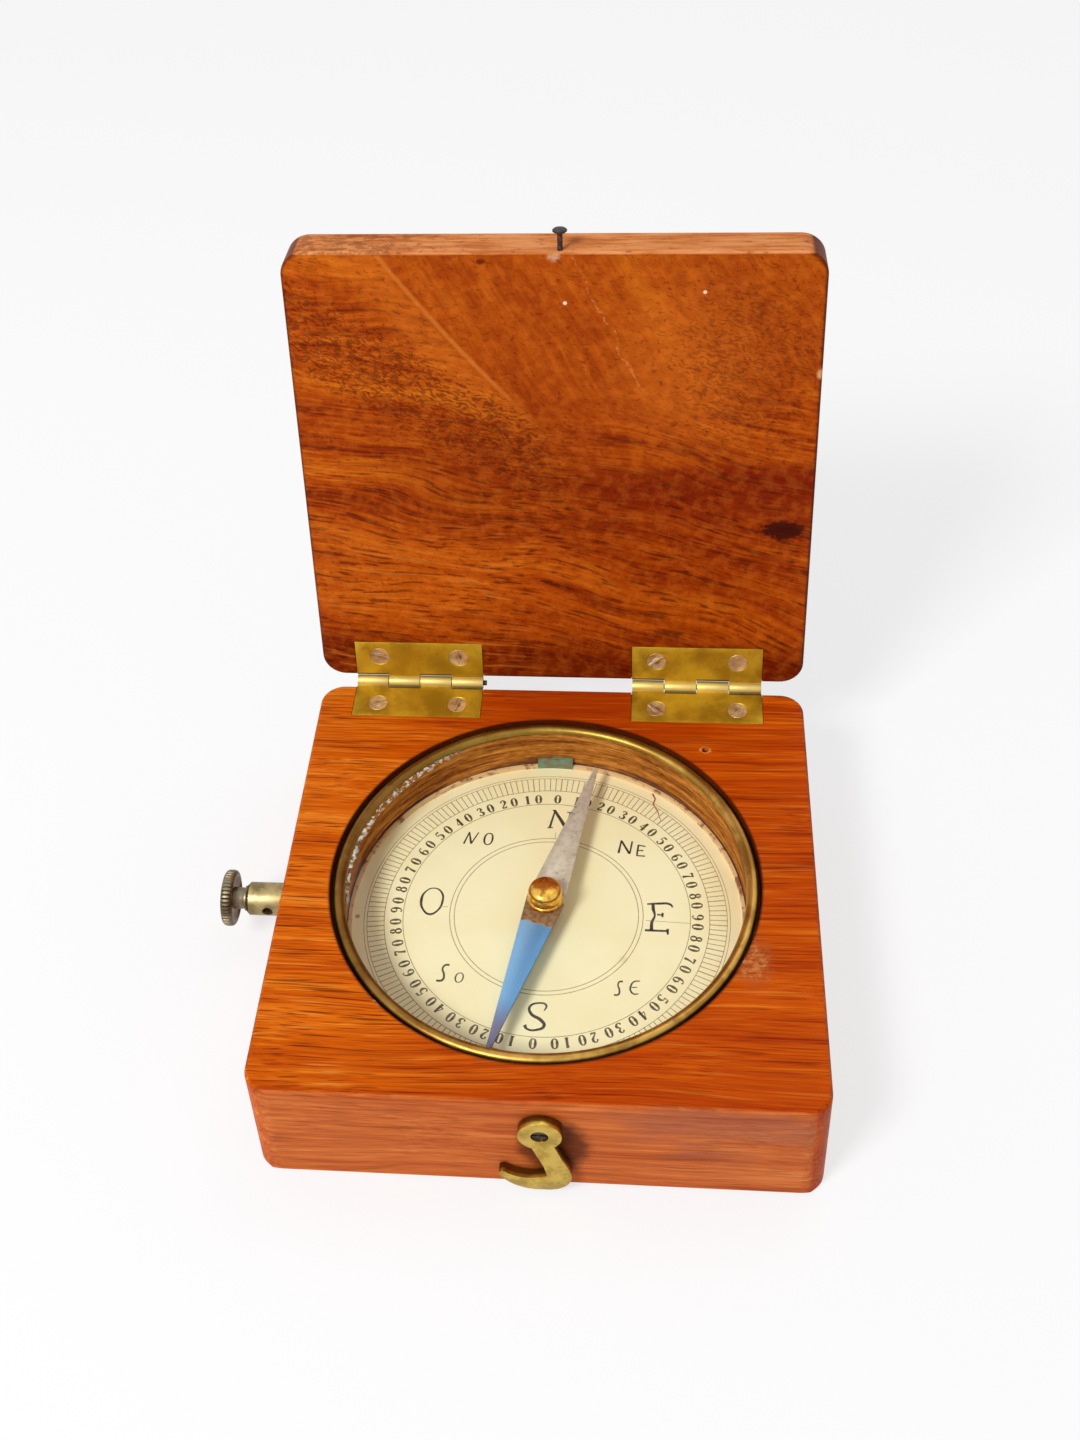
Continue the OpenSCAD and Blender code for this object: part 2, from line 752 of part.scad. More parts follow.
module lock_shaft() {
    shaft_from = neck_x - socket_len;
    shaft_to = -flange_r;
    color("silver") on_lock_axis() {
        rod_x(shaft_from + fit, shaft_to - shaft_from - fit, shaft_r);
        rotate([throw_angle, 0, 0]) translate([0, -throw, 0])
            rod_x(shaft_to - slip, flange_r + slip + pin_past, throw_pin_r);
    }
}

module shaft_collar() {
    color("gold") on_lock_axis() difference() {
        rod_x(-ear_x + slip, shaft_collar_w, shaft_r + shaft_collar_wall);
        rod_x(-ear_x - cut, shaft_collar_w + 2 * cut, shaft_r + fit);
    }
}

// The knurled rim as a toothed outline
module knurl_outline() {
    step = 180 / knurl_count;
    polygon([for (i = [0 : 2 * knurl_count - 1])
        (knob_d / 2 - (i % 2) * knurl_depth) * [cos(i * step), sin(i * step)]]);
}

module lock_knob() {
    core_r = knob_d / 2 - knurl_depth - slip;
    dish_r = knob_d / 2 - knob_rim;
    color("rosybrown") on_lock_axis() translate([knob_x, 0, 0]) rotate([0, 90, 0]) difference() {
        union() {
            translate([0, 0, knob_bevel])
                linear_extrude(height = knob_t - 2 * knob_bevel) knurl_outline();
            rotate_extrude() polygon([[0, 0], [core_r - knob_bevel, 0], [core_r, knob_bevel],
                [core_r, knob_t - knob_bevel], [core_r - knob_bevel, knob_t],
                [dish_r, knob_t], [dish_r, knob_t - dish_depth], [neck_d / 2, knob_t - dish_depth],
                [neck_d / 2, knob_t + neck_len], [0, knob_t + neck_len]]);
        }
        translate([0, 0, knob_t + neck_len - socket_len]) cylinder(r = shaft_r + fit, h = socket_len + cut);
    }
}

wood_case();
wood_lid();
case_leaf_left();
case_leaf_right();
lid_leaf_left();
lid_leaf_right();
hinge_pin_left();
hinge_pin_right();
case_hinge_screws();
lid_hinge_screws();
catch_hook();
hook_screw();
hook_washer();
catch_nail();
dial_plate();
dial_card();
card_ring();
north_tab();
cover_glass();
bezel_ring();
pivot_bridge();
bridge_screws();
pivot_post();
pivot_point();
lifting_collar();
needle_blade();
needle_cap();
cap_jewel();
lock_barrel();
lock_washer();
lock_shaft();
shaft_collar();
lock_knob();
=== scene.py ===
"""A pocket marine compass in its hinged wooden case: how each of its pieces looks."""

import math

import bmesh
import bpy
from mathutils import Matrix, Vector


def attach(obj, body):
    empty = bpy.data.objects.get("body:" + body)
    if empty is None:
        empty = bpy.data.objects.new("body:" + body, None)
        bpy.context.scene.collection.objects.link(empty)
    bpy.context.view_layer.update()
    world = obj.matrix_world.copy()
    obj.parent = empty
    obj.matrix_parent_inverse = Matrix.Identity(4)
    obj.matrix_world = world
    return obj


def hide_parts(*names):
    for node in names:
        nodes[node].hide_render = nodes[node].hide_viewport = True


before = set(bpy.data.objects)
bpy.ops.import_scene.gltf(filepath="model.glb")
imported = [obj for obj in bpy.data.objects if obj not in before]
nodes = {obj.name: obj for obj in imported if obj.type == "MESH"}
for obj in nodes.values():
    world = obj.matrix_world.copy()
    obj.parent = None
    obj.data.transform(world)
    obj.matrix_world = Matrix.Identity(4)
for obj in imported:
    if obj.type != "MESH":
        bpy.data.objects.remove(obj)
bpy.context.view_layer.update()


# Camera: stands before the open case, a little to its right, and looks down on the dial.
# It leans a little to one side, and its picture is shifted to where the photograph has it.
camera_azimuth = math.radians(7.190)
camera_elevation = math.radians(38.846)
camera_roll = math.radians(-3.921)
camera_aim = Vector((-0.00702, 0.0007, 0.10936))
camera_distance = 0.26809
back = Vector((
    math.sin(camera_azimuth) * math.cos(camera_elevation),
    -math.cos(camera_azimuth) * math.cos(camera_elevation),
    math.sin(camera_elevation),
))
level_right = (-back).cross(Vector((0, 0, 1))).normalized()
level_up = level_right.cross(-back)
right = level_right * math.cos(camera_roll) + level_up * math.sin(camera_roll)
up = level_up * math.cos(camera_roll) - level_right * math.sin(camera_roll)
camera = bpy.data.objects.new("camera", bpy.data.cameras.new("camera"))
camera.data.sensor_width = 36
camera.data.lens = 44.887
camera.data.shift_x = 0.0417
camera.data.shift_y = -0.1528
camera.data.clip_start = 0.01
camera.matrix_world = Matrix.Translation(camera_aim + back * camera_distance) @ Matrix(
    (right, up, back)
).transposed().to_4x4()
bpy.context.scene.collection.objects.link(camera)
bpy.context.scene.camera = camera
bpy.context.scene.view_settings.view_transform = "Standard"


# Floor and lamps: a white table in a pale room, under a soft lamp at the front left and a
# weak one behind. What the camera sees of floor and room is kept white.
class Value:
    """What a node gives out: sums written on it become Math nodes."""

    def __init__(self, paint, socket):
        self.paint = paint
        self.socket = socket

    def math(self, operation, *terms):
        return self.paint.node("Math", {"operation": operation}, terms)

    def __add__(self, other):
        return self.math("ADD", self, other)

    def __sub__(self, other):
        return self.math("SUBTRACT", self, other)

    def __rsub__(self, other):
        return self.math("SUBTRACT", other, self)

    def __mul__(self, other):
        return self.math("MULTIPLY", self, other)

    def __truediv__(self, other):
        return self.math("DIVIDE", self, other)

    __radd__ = __add__


class Paint:
    """A finish, or the room's light, made of shader nodes."""

    def __init__(self, owner):
        self.owner = owner
        owner.use_nodes = True
        self.tree = owner.node_tree
        self.tree.nodes.clear()

    def node(self, kind, settings, sockets, out=0):
        made = self.tree.nodes.new("ShaderNode" + kind)
        for name, value in settings.items():
            if name == "stops":
                elements = made.color_ramp.elements
                for place, colour in value[1:-1]:
                    elements.new(place).color = colour
                for element, (place, colour) in zip(elements, value):
                    element.position = place
                    element.color = colour
            else:
                setattr(made, name, value)
        named = sockets.items() if isinstance(sockets, dict) else enumerate(sockets)
        for name, value in named:
            if isinstance(value, Value):
                self.tree.links.new(value.socket, made.inputs[name])
            else:
                made.inputs[name].default_value = value
        return Value(self, made.outputs[out]) if made.outputs else None


def background_rays(paint):
    """1 for what the camera sees directly, or in metal or through glass."""
    seen = paint.node("LightPath", {}, {}, "Is Camera Ray")
    mirrored = paint.node("LightPath", {}, {}, "Is Glossy Ray")
    through = paint.node("LightPath", {}, {}, "Is Transmission Ray")
    return seen.math("MAXIMUM", seen.math("MAXIMUM", seen, mirrored), through)


room_light = 0.45
room = Paint(bpy.data.worlds.new("room"))
bpy.context.scene.world = room.owner
shown = background_rays(room)
strength = shown * (1 - room_light) + room_light
lit_room = room.node("Background", {}, {"Color": (1, 1, 1, 1), "Strength": strength})
room.node("OutputWorld", {}, {"Surface": lit_room})


def lamp(name, azimuth, elevation, distance, size, level):
    """A square lamp that lights a facing white surface to this level of full white."""
    flat = math.cos(math.radians(elevation))
    away = Vector((
        math.sin(math.radians(azimuth)) * flat,
        -math.cos(math.radians(azimuth)) * flat,
        math.sin(math.radians(elevation)),
    ))
    made = bpy.data.objects.new(name, bpy.data.lights.new(name, "AREA"))
    made.data.size = size
    made.data.energy = level * (math.pi * distance) ** 2
    made.location = Vector((0, 0, 0.03)) + away * distance
    made.rotation_euler = away.to_track_quat("Z", "Y").to_euler()
    bpy.context.scene.collection.objects.link(made)


lamp("key_lamp", -38, 48, 1.2, 0.30, 0.76)
lamp("back_lamp", 150, 60, 1.2, 0.5, 0.10)

floor_paint = Paint(bpy.data.materials.new("table_top"))
daylight = floor_paint.node("BsdfDiffuse", {}, {"Color": (0.86, 0.86, 0.87, 1)})
white = floor_paint.node("Emission", {}, {"Color": (1, 1, 1, 1), "Strength": 1.0})
whitened = background_rays(floor_paint) * 0.7
table = floor_paint.node("MixShader", {}, [whitened, daylight, white])
floor_paint.node("OutputMaterial", {}, {"Surface": table})
table_reach = 3
table_gap = 0.0001
floor_shape = bmesh.new()
bmesh.ops.create_grid(floor_shape, x_segments=1, y_segments=1, size=table_reach)
bmesh.ops.translate(floor_shape, vec=(0, 0, -table_gap), verts=floor_shape.verts)
floor = bpy.data.objects.new("floor", bpy.data.meshes.new("floor"))
floor_shape.to_mesh(floor.data)
floor_shape.free()
floor.data.materials.append(floor_paint.owner)
bpy.context.scene.collection.objects.link(floor)


# Wooden case: one block of mahogany, turned out for the dial, varnished and worn.
# Its grain runs from side to side; its edges and the rim of the well are rubbed and chipped.
def tone(red, green, blue):
    """A colour picked on a screen, 0 to 255, as the linear colour that shaders take."""
    linear = [
        c / 12.92 if c <= 0.04045 else ((c + 0.055) / 1.055) ** 2.4
        for c in (red / 255, green / 255, blue / 255)
    ]
    return (*linear, 1)


def new_paint(name):
    return Paint(bpy.data.materials.new(name))


def vector(operation, a, b, out=0):
    paint = a.paint
    return paint.node("VectorMath", {"operation": operation}, {0: a, 1: b}, out)


def millimetres(paint, move=(0, 0, 0), turn=(0, 0, 0)):
    """Places on the piece in millimetres, turned and then moved."""
    place = paint.node("TexCoord", {}, {}, "Object")
    return paint.node(
        "Mapping",
        {"vector_type": "POINT"},
        {"Vector": place, "Location": move, "Rotation": turn, "Scale": (1000, 1000, 1000)},
    )


def noise(place, stretch, detail=2.0, rough=0.5, out=0, shift=(0, 0, 0)):
    """Cloudy values from 0 to 1, as fine as the stretch says, per millimetre."""
    if not isinstance(stretch, tuple):
        stretch = (stretch, stretch, stretch)
    spread = place.paint.node(
        "Mapping",
        {"vector_type": "POINT"},
        {"Vector": place, "Location": shift, "Scale": stretch},
    )
    return place.paint.node(
        "TexNoise",
        {"noise_dimensions": "3D"},
        {"Vector": spread, "Scale": 1.0, "Detail": detail, "Roughness": rough},
        out,
    )


def step(value, low, high):
    """0 below low, 1 above high, and a soft step between; low may be the higher."""
    return value.paint.node(
        "MapRange",
        {"interpolation_type": "SMOOTHSTEP"},
        {"Value": value, "From Min": low, "From Max": high},
    )


def length(a):
    return vector("LENGTH", a, (0, 0, 0), "Value")


def near(place, centre, inner, outer, stretch=(1, 1, 1)):
    """1 within the inner distance of a point, fading to 0 at the outer one."""
    away = vector("SUBTRACT", place, centre)
    return step(length(vector("MULTIPLY", away, stretch)), outer, inner)


def mix(amount, first, second):
    """The first colour, or by this amount of 0 to 1 the second."""
    sources = [s for s in (amount, first, second) if isinstance(s, Value)]
    return sources[0].paint.node("Mix", {"data_type": "RGBA"}, {0: amount, 6: first, 7: second}, 2)


def ramp(value, stops):
    return value.paint.node("ValToRGB", {"stops": stops}, [value])


def axis(place, which):
    return place.paint.node("SeparateXYZ", {}, [place], which)


def bump(height, depth_mm, strength):
    """A height from 0 to 1 that stands for this depth in millimetres."""
    sockets = {"Height": height, "Strength": strength, "Distance": depth_mm / 1000}
    return height.paint.node("Bump", {}, sockets)


def surface(paint, **sockets):
    """Ends a finish: the names are the shader's own sockets, with _ for a space."""
    names = {name.replace("_", " "): value for name, value in sockets.items()}
    shader = paint.node("BsdfPrincipled", {}, names)
    paint.node("OutputMaterial", {}, {"Surface": shader})


def dress(node, paint):
    """Gives a CAD node its finish and leaves its mesh as it is."""
    nodes[node].material_slots[0].material = paint.owner


def along_grain(place, wander, fine=0.035):
    """Places shifted across the grain, so that lines drawn along x waver by this many mm."""
    drift = noise(place, (0.012, fine, fine), 2, 0.5, "Color")
    drift = vector("MULTIPLY", vector("SUBTRACT", drift, (0.5, 0.5, 0.5)), (0, wander, wander))
    return vector("ADD", place, drift)


def dashes(grain, long, fine, low, high, shift=(0, 0, 0)):
    """Thin dashes along x, as pores are cut: 1 in a dash and 0 between them."""
    return step(noise(grain, (long, fine, fine), 1.0, 0.4, shift=shift), low, high)


def from_middle(place):
    """Millimetres from the upright line through the middle of the dial."""
    return length(vector("MULTIPLY", place, (1, 1, 0)))


# Case and lid are the same seen from above; their middle lies beside the dial's
case_top = 23.5
board_middle = (0.6, 0.7, 0)
board_corner = 4.5
corner_centre = (47.5 - board_corner, 46.25 - board_corner, 0)


def past_outline(place):
    """Millimetres past the board's outline, seen from above, and below 0 inside it."""
    beyond = vector("ABSOLUTE", vector("SUBTRACT", place, board_middle), (0, 0, 0))
    beyond = vector("MAXIMUM", vector("SUBTRACT", beyond, corner_centre), (0, 0, 0))
    return length(vector("MULTIPLY", beyond, (1, 1, 0))) - board_corner


varnish_gloss = 0.04
case_paint = new_paint("case_mahogany")
place = millimetres(case_paint)
across = axis(place, "X")
along = axis(place, "Y")
high = axis(place, "Z")
grain = along_grain(place, 7)
bands = noise(grain, (0.008, 0.26, 0.26), 3, 0.6)
fibres = noise(grain, (0.035, 1.7, 1.7), 3, 0.6)
hairs = noise(grain, (0.10, 5, 5), 2, 0.6)
figure = bands * 0.42 + fibres * 0.38 + hairs * 0.20
west = step(across, 3, -33)
north = near(place, (1, 51, case_top), 8, 34, (0.75, 1, 0.2))
front_strip = step(along, -28, -43)
colour = ramp(
    figure,
    [
        (0.36, tone(136, 36, 1)),
        (0.45, tone(176, 62, 2)),
        (0.54, tone(194, 78, 3)),
        (0.66, tone(216, 108, 14)),
    ],
)
golden = ramp(
    figure,
    [
        (0.36, tone(166, 64, 4)),
        (0.45, tone(198, 86, 5)),
        (0.54, tone(216, 106, 12)),
        (0.66, tone(234, 146, 50)),
    ],
)
colour = mix(west * 0.85, colour, golden)
colour = mix(north * 0.6, colour, tone(160, 48, 2))
colour = mix(front_strip * (1 - west * 0.5) * 0.35, colour, tone(170, 58, 2))

# Pores: long ones and fine short ones, darker in the west, with pale lines between them
crowd = noise(place, (0.03, 0.08, 0.08), 2, 0.5, shift=(1, 7, 3))
long_pores = dashes(grain, 0.06, 3.0, 0.61, 0.68)
short_pores = dashes(grain, 0.13, 4.4, 0.58, 0.68, (5, 2, 9))
pale_lines = dashes(grain, 0.045, 1.5, 0.60, 0.74, (3, 8, 1))
crowded = step(crowd, 0.34, 0.60)
colour = mix(pale_lines * (0.18 + west * 0.22), colour, tone(240, 160, 62))
short_strength = (0.26 + west * 0.20) * (0.7 + crowded * 0.3)
colour = mix(short_pores * short_strength, colour, tone(112, 30, 2))
long_strength = (0.42 + west * 0.34) * (0.6 + crowded * 0.4)
colour = mix(long_pores * long_strength, colour, tone(84, 22, 4))

# The upright faces are painted paler and duller, as painted sheen of the varnish, and streaked,
# with smudges at the front's east end and a dark patch behind the hook painted as its shadow
front = step(along, -44.95, -45.4)
sides = step(across.math("ABSOLUTE", across - board_middle[0]), 46.9, 47.35)
stripes = noise(place, (0.03, 0.5, 0.9), 3, 0.6, shift=(4, 4, 4))
# The paler, duller colour of the upright faces is painted sheen of the varnish
dull = ramp(
    figure * 0.75 + stripes * 0.25,
    [
        (0.38, tone(150, 66, 30)),
        (0.47, tone(186, 94, 44)),
        (0.54, tone(202, 110, 54)),
        (0.64, tone(222, 138, 80)),
    ],
)
colour = mix(front * 0.82 + sides * 0.5, colour, dull)
colour = mix(front * short_pores * 0.22 + front * long_pores * 0.20, colour, tone(112, 48, 22))
smudge = near(place, (33, -45.5, 19), 4, 20, (0.7, 0, 1.3)) * 0.25
smudge = smudge + noise(place, (0.05, 0.1, 0.2), 4, 0.65)
smudge = step(smudge, 0.56, 0.78) * (front + sides)
colour = mix(smudge * 0.45, colour, tone(140, 78, 66))
# A dark patch painted on the front beside the hook, as the hook's shadow
hook_shadow_patch = near(place, (3.5, -45.5, 11.5), 3.5, 9.0, (1, 0, 0.8))
hook_shadow_patch = step(hook_shadow_patch + noise(place, 0.5, 4) * 0.6, 0.55, 1.3) * front
colour = mix(hook_shadow_patch * 0.85, colour, tone(76, 30, 10))

# Edges: pale on the ridge that faces the front, from rubbing and a painted highlight, dark on the
# others, and painted shade along the foot
inset = past_outline(place)
patchy = noise(place, (0.35, 0.35, 0.9), 4, 0.7)
ridge = step(inset + high - case_top + patchy * 0.8, -0.12, 0.28)
facing = step(along, -40.5, -43.6)
# The front ridge is pale from wear and from a painted highlight
colour = mix(ridge * facing * 0.42, colour, tone(222, 134, 66))
colour = mix(ridge * (1 - facing) * 0.75, colour, tone(88, 30, 8))
# Painted shade along the foot, where the case stands on the table
foot_shade = step(inset - high + patchy * 0.8, -0.3, 0.3)
colour = mix(foot_shade * 0.5, colour, tone(96, 44, 26))

# Wall of the well, left rough by the turning and darker towards the card, and dirt and painted
# shade in the gap round the bezel
radius = from_middle(place)
inside = step(radius, 38.4, 38.0)
rings = noise(place, (0.07, 0.07, 1.1), 4, 0.65, shift=(3, 1, 4))
scrapes = noise(place, (0.5, 0.5, 2.6), 3, 0.6, shift=(1, 1, 1))
wall = ramp(
    rings * 0.65 + scrapes * 0.35,
    [
        (0.36, tone(84, 42, 22)),
        (0.46, tone(146, 84, 30)),
        (0.55, tone(186, 118, 46)),
        (0.66, tone(216, 150, 74)),
    ],
)
# Darker low on the wall, towards the card
low_wall_dark = step(high + rings * 5 + scrapes * 1.5, 18.6, 16.4)
wall = mix(low_wall_dark * 0.8, wall, tone(88, 56, 50))
colour = mix(inside, colour, wall)
# Dirt and painted shade in the narrow gap between the bezel and the wood
gap = step(radius, 39.0, 38.45) * step(radius, 37.9, 38.3)
colour = mix(gap * 0.85, colour, tone(46, 20, 10))

# Chips beside the bezel, a scuff on the east side and the frayed rim of the old pin hole, with
# painted shade in the hole
ragged = noise(place, (0.9, 1.6, 1), 5, 0.75, shift=(8, 0, 2))
chips = near(place, (-26.7, -27.5, case_top), 0.3, 2.2)
chips = chips + near(place, (-20.0, -32.4, case_top), 0.2, 2.0)
scuff = near(place, (36.5, -16.7, case_top), 1.0, 6.0, (1, 0.62, 1))
pin_hole = (29, 31.6, case_top)
rim = near(place, pin_hole, 0.7, 1.9, (1, 1.3, 1))
bare = step(chips * 0.34 + scuff * 0.34 + rim * 0.42 + ragged * 0.9, 0.72, 0.90)
bare = bare * step(radius, 38.45, 38.55)
colour = mix(bare * 0.75, colour, tone(230, 156, 84))
haze = step(scuff + chips * 0.6 + ragged, 0.8, 1.5)
colour = mix(haze * 0.35, colour, tone(150, 84, 50))
# Painted shade inside the pin hole
hollow = near(place, pin_hole, 0.55, 0.8)
colour = mix(hollow * 0.85, colour, tone(52, 22, 10))
relief = bump(fibres * 0.4 + hairs * 0.2 - long_pores * 0.8 - short_pores * 0.4, 0.07, 0.7)
surface(
    case_paint,
    Base_Color=colour,
    Roughness=0.40 + inside * 0.3 + bare * 0.2 + front * 0.06,
    Normal=relief,
    Specular_IOR_Level=varnish_gloss,
)
dress("wood_case", case_paint)


# Lid: a thinner board of the same tree, figured across its inner face, worn and scratched.
# Its paint is laid out on the closed lid, so its places are turned back from the open one.
lid_open = math.radians(96.5)
pin_line = Vector((0, 48.3, 23.6))
closing_move = pin_line - Matrix.Rotation(lid_open, 3, "X") @ pin_line


def beside(place, x, y, heading):
    """Millimetres to the left of a line on the board that starts at a point."""
    angle = math.radians(heading)
    away = vector("SUBTRACT", place, (x, y, 0))
    return vector("DOT_PRODUCT", away, (-math.sin(angle), math.cos(angle), 0), "Value")


def turned_grain(place, degrees):
    """The same board with its grain turned about the upright by this angle."""
    return place.paint.node(
        "Mapping",
        {"vector_type": "POINT"},
        {"Vector": place, "Rotation": (0, 0, math.radians(degrees))},
    )


lid_paint = new_paint("lid_mahogany")
place = millimetres(lid_paint, tuple(closing_move), (lid_open, 0, 0))
across = axis(place, "X")
along = axis(place, "Y")
grain = along_grain(place, 26, 0.022)
leaning = turned_grain(grain, -13)
bands = noise(leaning, (0.012, 0.20, 0.20), 3, 0.6)
fibres = noise(leaning, (0.05, 1.2, 1.2), 3, 0.6)
steep = turned_grain(grain, -58)
steep_bands = noise(steep, (0.014, 0.11, 0.11), 3, 0.6, shift=(4, 1, 0))
steep_fibres = noise(steep, (0.07, 1.0, 1.0), 3, 0.65, shift=(1, 4, 0))
mottling = noise(place, 0.42, 3, 0.6, shift=(2, 2, 2))
seam_radius = 279.3
seam = from_middle(vector("SUBTRACT", place, (201.1, -202.9, 0))) - seam_radius
wavering = noise(place, 0.10, 2, 0.5, shift=(0, 6, 0)) * 9 - 4.5
swirled = step(seam + wavering * 0.5, 1.5, -1.0) * step(along + across * 0.22 + wavering, -5, -16)
level = mix(swirled, bands * 0.52 + fibres * 0.48, steep_bands * 0.60 + steep_fibres * 0.40)
colour = ramp(
    level,
    [
        (0.36, tone(100, 24, 1)),
        (0.45, tone(150, 52, 2)),
        (0.54, tone(178, 75, 5)),
        (0.66, tone(204, 106, 18)),
    ],
)
# Broad patches: dull and even in the swirl, orange beside it, dark red to the lower right
colour = mix(swirled * 0.45, colour, tone(160, 66, 6))
beam = step(seam, 0.0, 1.6) * step(seam, 9.5, 4.0) * step(along, -4, -18)
colour = mix(beam * 0.5, colour, tone(204, 104, 24))
light_east = near(place, (24.8, -23.3, 0), 3, 20, (1, 0.75, 0))
colour = mix(light_east * 0.45, colour, tone(206, 104, 26))
dark_mid = near(place, (-9, 0.2, 0), 6, 26, (0.75, 1.15, 0))
colour = mix(dark_mid * 0.5, colour, tone(126, 40, 3))
red_band = step(along + wavering * 0.35, -4.5, -1.0) * step(along + wavering, 15, 3)
red_band = red_band * step(across, -4, 16)
colour = mix(red_band * 0.8, colour, tone(112, 16, 1))
red_low = near(place, (30.7, 12, 0), 8, 28, (0.7, 1.1, 0))
colour = mix(red_low * 0.45, colour, tone(126, 30, 1))
west_low = near(place, (-28.8, 23.7, 0), 6, 24, (0.8, 1.2, 0))
colour = mix(west_low * 0.35, colour, tone(200, 92, 16))
hinge_end = step(along + wavering * 0.5, 33, 44)
colour = mix(hinge_end * 0.8, colour, tone(96, 14, 1))

# Speckled pores, thickest in a slanting belt and at the east side, and dashes elsewhere
curl = vector("SUBTRACT", noise(place, 0.5, 2, 0.5, "Color"), (0.5, 0.5, 0.5))
curled = vector("ADD", place, vector("MULTIPLY", curl, (2.4, 2.4, 0)))
specks = noise(turned_grain(curled, -20), (0.8, 2.4, 2.4), 1.5, 0.5, shift=(3, 3, 3))
belt = beside(place, -43, -29.5, 32.8)
belt = step(belt, -10, -5) * step(belt, 11, 4) * step(across, 6, -6)
east_belt = near(place, (35.7, -23.3, 0), 6, 19, (1, 0.8, 0))
few = noise(place, 0.09, 2, 0.5, shift=(7, 7, 0)) * 0.10
speck = step(specks + belt * 0.13 + east_belt * 0.11 + few, 0.64, 0.74)
colour = mix(speck * (0.46 + belt * 0.20), colour, tone(82, 26, 4))
pores = dashes(leaning, 0.12, 1.6, 0.59, 0.66, (5, 2, 9))
pores = pores * (1 - swirled * 0.8) * (0.35 + step(along, -14, 8) * 0.65)
colour = mix(pores * 0.66, colour, tone(66, 14, 2))
pale_lines = dashes(leaning, 0.035, 0.9, 0.58, 0.72, (3, 8, 1))
pale_lines = pale_lines * step(along, 4, 20) * step(across, 6, -16)
colour = mix(pale_lines * 0.5, colour, tone(214, 120, 40))
blush = step(mottling, 0.40, 0.66)
colour = mix(blush * 0.16, colour, tone(216, 116, 34))
colour = mix((1 - blush) * 0.14, colour, tone(104, 34, 3))
seam_line = step(seam.math("ABSOLUTE", seam - 0.2), 0.7, 0.1) * step(along, -10, -22)
colour = mix(seam_line * 0.40, colour, tone(226, 134, 50))
scratch = beside(place, 4.0, -45.1, 64.6) + noise(place, 0.22, 2) * 4 - 2
scratch = step(scratch.math("ABSOLUTE", scratch), 0.24, 0.05) * step(along, -14, -22)
colour = mix(scratch * step(specks, 0.44, 0.58) * 0.42, colour, tone(222, 144, 76))

# Knot, worn edges, the upper end worn pale with a painted sheen, the splits and the rip beside
# the nail, and small chips and flecks
knot = near(place, (42.9, 10.9, 0), 0.6, 4.4, (0.62, 1.2, 0))
knotted = step(knot * 0.8 + noise(place, (0.9, 1.8, 1.8), 4, 0.7) * 1.3, 0.95, 1.25)
colour = mix(knot * 0.5, colour, tone(92, 16, 2))
colour = mix(knotted * step(knot, 0.05, 0.3) * 0.85, colour, tone(44, 8, 6))
patchy = noise(place, (0.5, 0.5, 0.8), 5, 0.7)
top_edge = step(along, -44.95, -45.35)
edge = step(past_outline(place) + patchy * 0.8, -0.35, 0.25)
colour = mix(edge * (1 - top_edge) * 0.72, colour, tone(66, 20, 6))
# The end that faces up when the lid is open: worn paler, and with a painted sheen
wear_and_sheen_end = ramp(
    noise(place, (0.10, 0.5, 0.9), 4, 0.65, shift=(0, 0, 5)),
    [
        (0.38, tone(186, 104, 50)),
        (0.50, tone(212, 132, 74)),
        (0.62, tone(224, 150, 94)),
    ],
)
colour = mix(top_edge * 0.9, colour, wear_and_sheen_end)
west_end = near(place, (-39, 0, 0), 6, 26, (1, 0, 0))
grimy = step(patchy + west_end * 0.12, 0.56, 0.68) * top_edge
colour = mix(grimy * 0.55, colour, tone(120, 56, 24))
split = near(place, (1.2, -45.5, 22.1), 0.8, 3.0, (0.7, 0.5, 1.2))
split = step(split + patchy * 0.9, 0.75, 1.05)
colour = mix(split * 0.8, colour, tone(214, 170, 136))
rip = near(place, (2.3, -45.5, 22.5), 0.45, 1.3, (0.6, 0, 1)) * top_edge
colour = mix(rip * 0.9, colour, tone(50, 22, 12))
chip = near(place, (47.9, -22.0, case_top), 0.4, 1.1, (1, 0.8, 0.6))
colour = mix(chip * 0.8, colour, tone(226, 170, 120))
fleck = near(place, (3.0, -35.9, case_top), 0.3, 0.5)
fleck = fleck + near(place, (27.2, -38.0, case_top), 0.25, 0.5)
colour = mix(fleck, colour, tone(244, 206, 180))
nick = near(place, (-11.5, -43.8, case_top), 0.35, 0.9, (0.8, 1.2, 1))
colour = mix(nick * 0.8, colour, tone(70, 20, 8))
relief = bump(fibres * 0.4 - pores * 0.6 - speck * 0.5, 0.07, 0.7)
surface(
    lid_paint,
    Base_Color=colour,
    Roughness=0.40 + top_edge * 0.15,
    Normal=relief,
    Specular_IOR_Level=varnish_gloss,
)
dress("wood_lid", lid_paint)


# Hinges: two brass butts let into case and lid, their knuckles rolled round a steel pin.
# The leaves have gone olive brown, the knuckles are rubbed bright with a painted highlight, and dirt
# and painted shade fill the gaps.
def link(name, mesh, paints, body):
    """Puts a finished mesh in the scene, smooth but for its sharp edges, on its body."""
    mesh.name = name
    for polygon in mesh.polygons:
        polygon.use_smooth = True
    mesh.set_sharp_from_angle(angle=math.radians(32))
    for paint in paints:
        mesh.materials.append(paint.owner)
    piece = bpy.data.objects.new(name, mesh)
    bpy.context.scene.collection.objects.link(piece)
    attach(piece, body)
    return piece


def piece_of(name, shape, paints, body, place=Matrix()):
    """Makes a bmesh in millimetres a piece in metres, at its place."""
    bmesh.ops.transform(shape, matrix=Matrix.Scale(0.001, 4) @ place, verts=shape.verts)
    mesh = bpy.data.meshes.new(name)
    shape.to_mesh(mesh)
    shape.free()
    return link(name, mesh, paints, body)


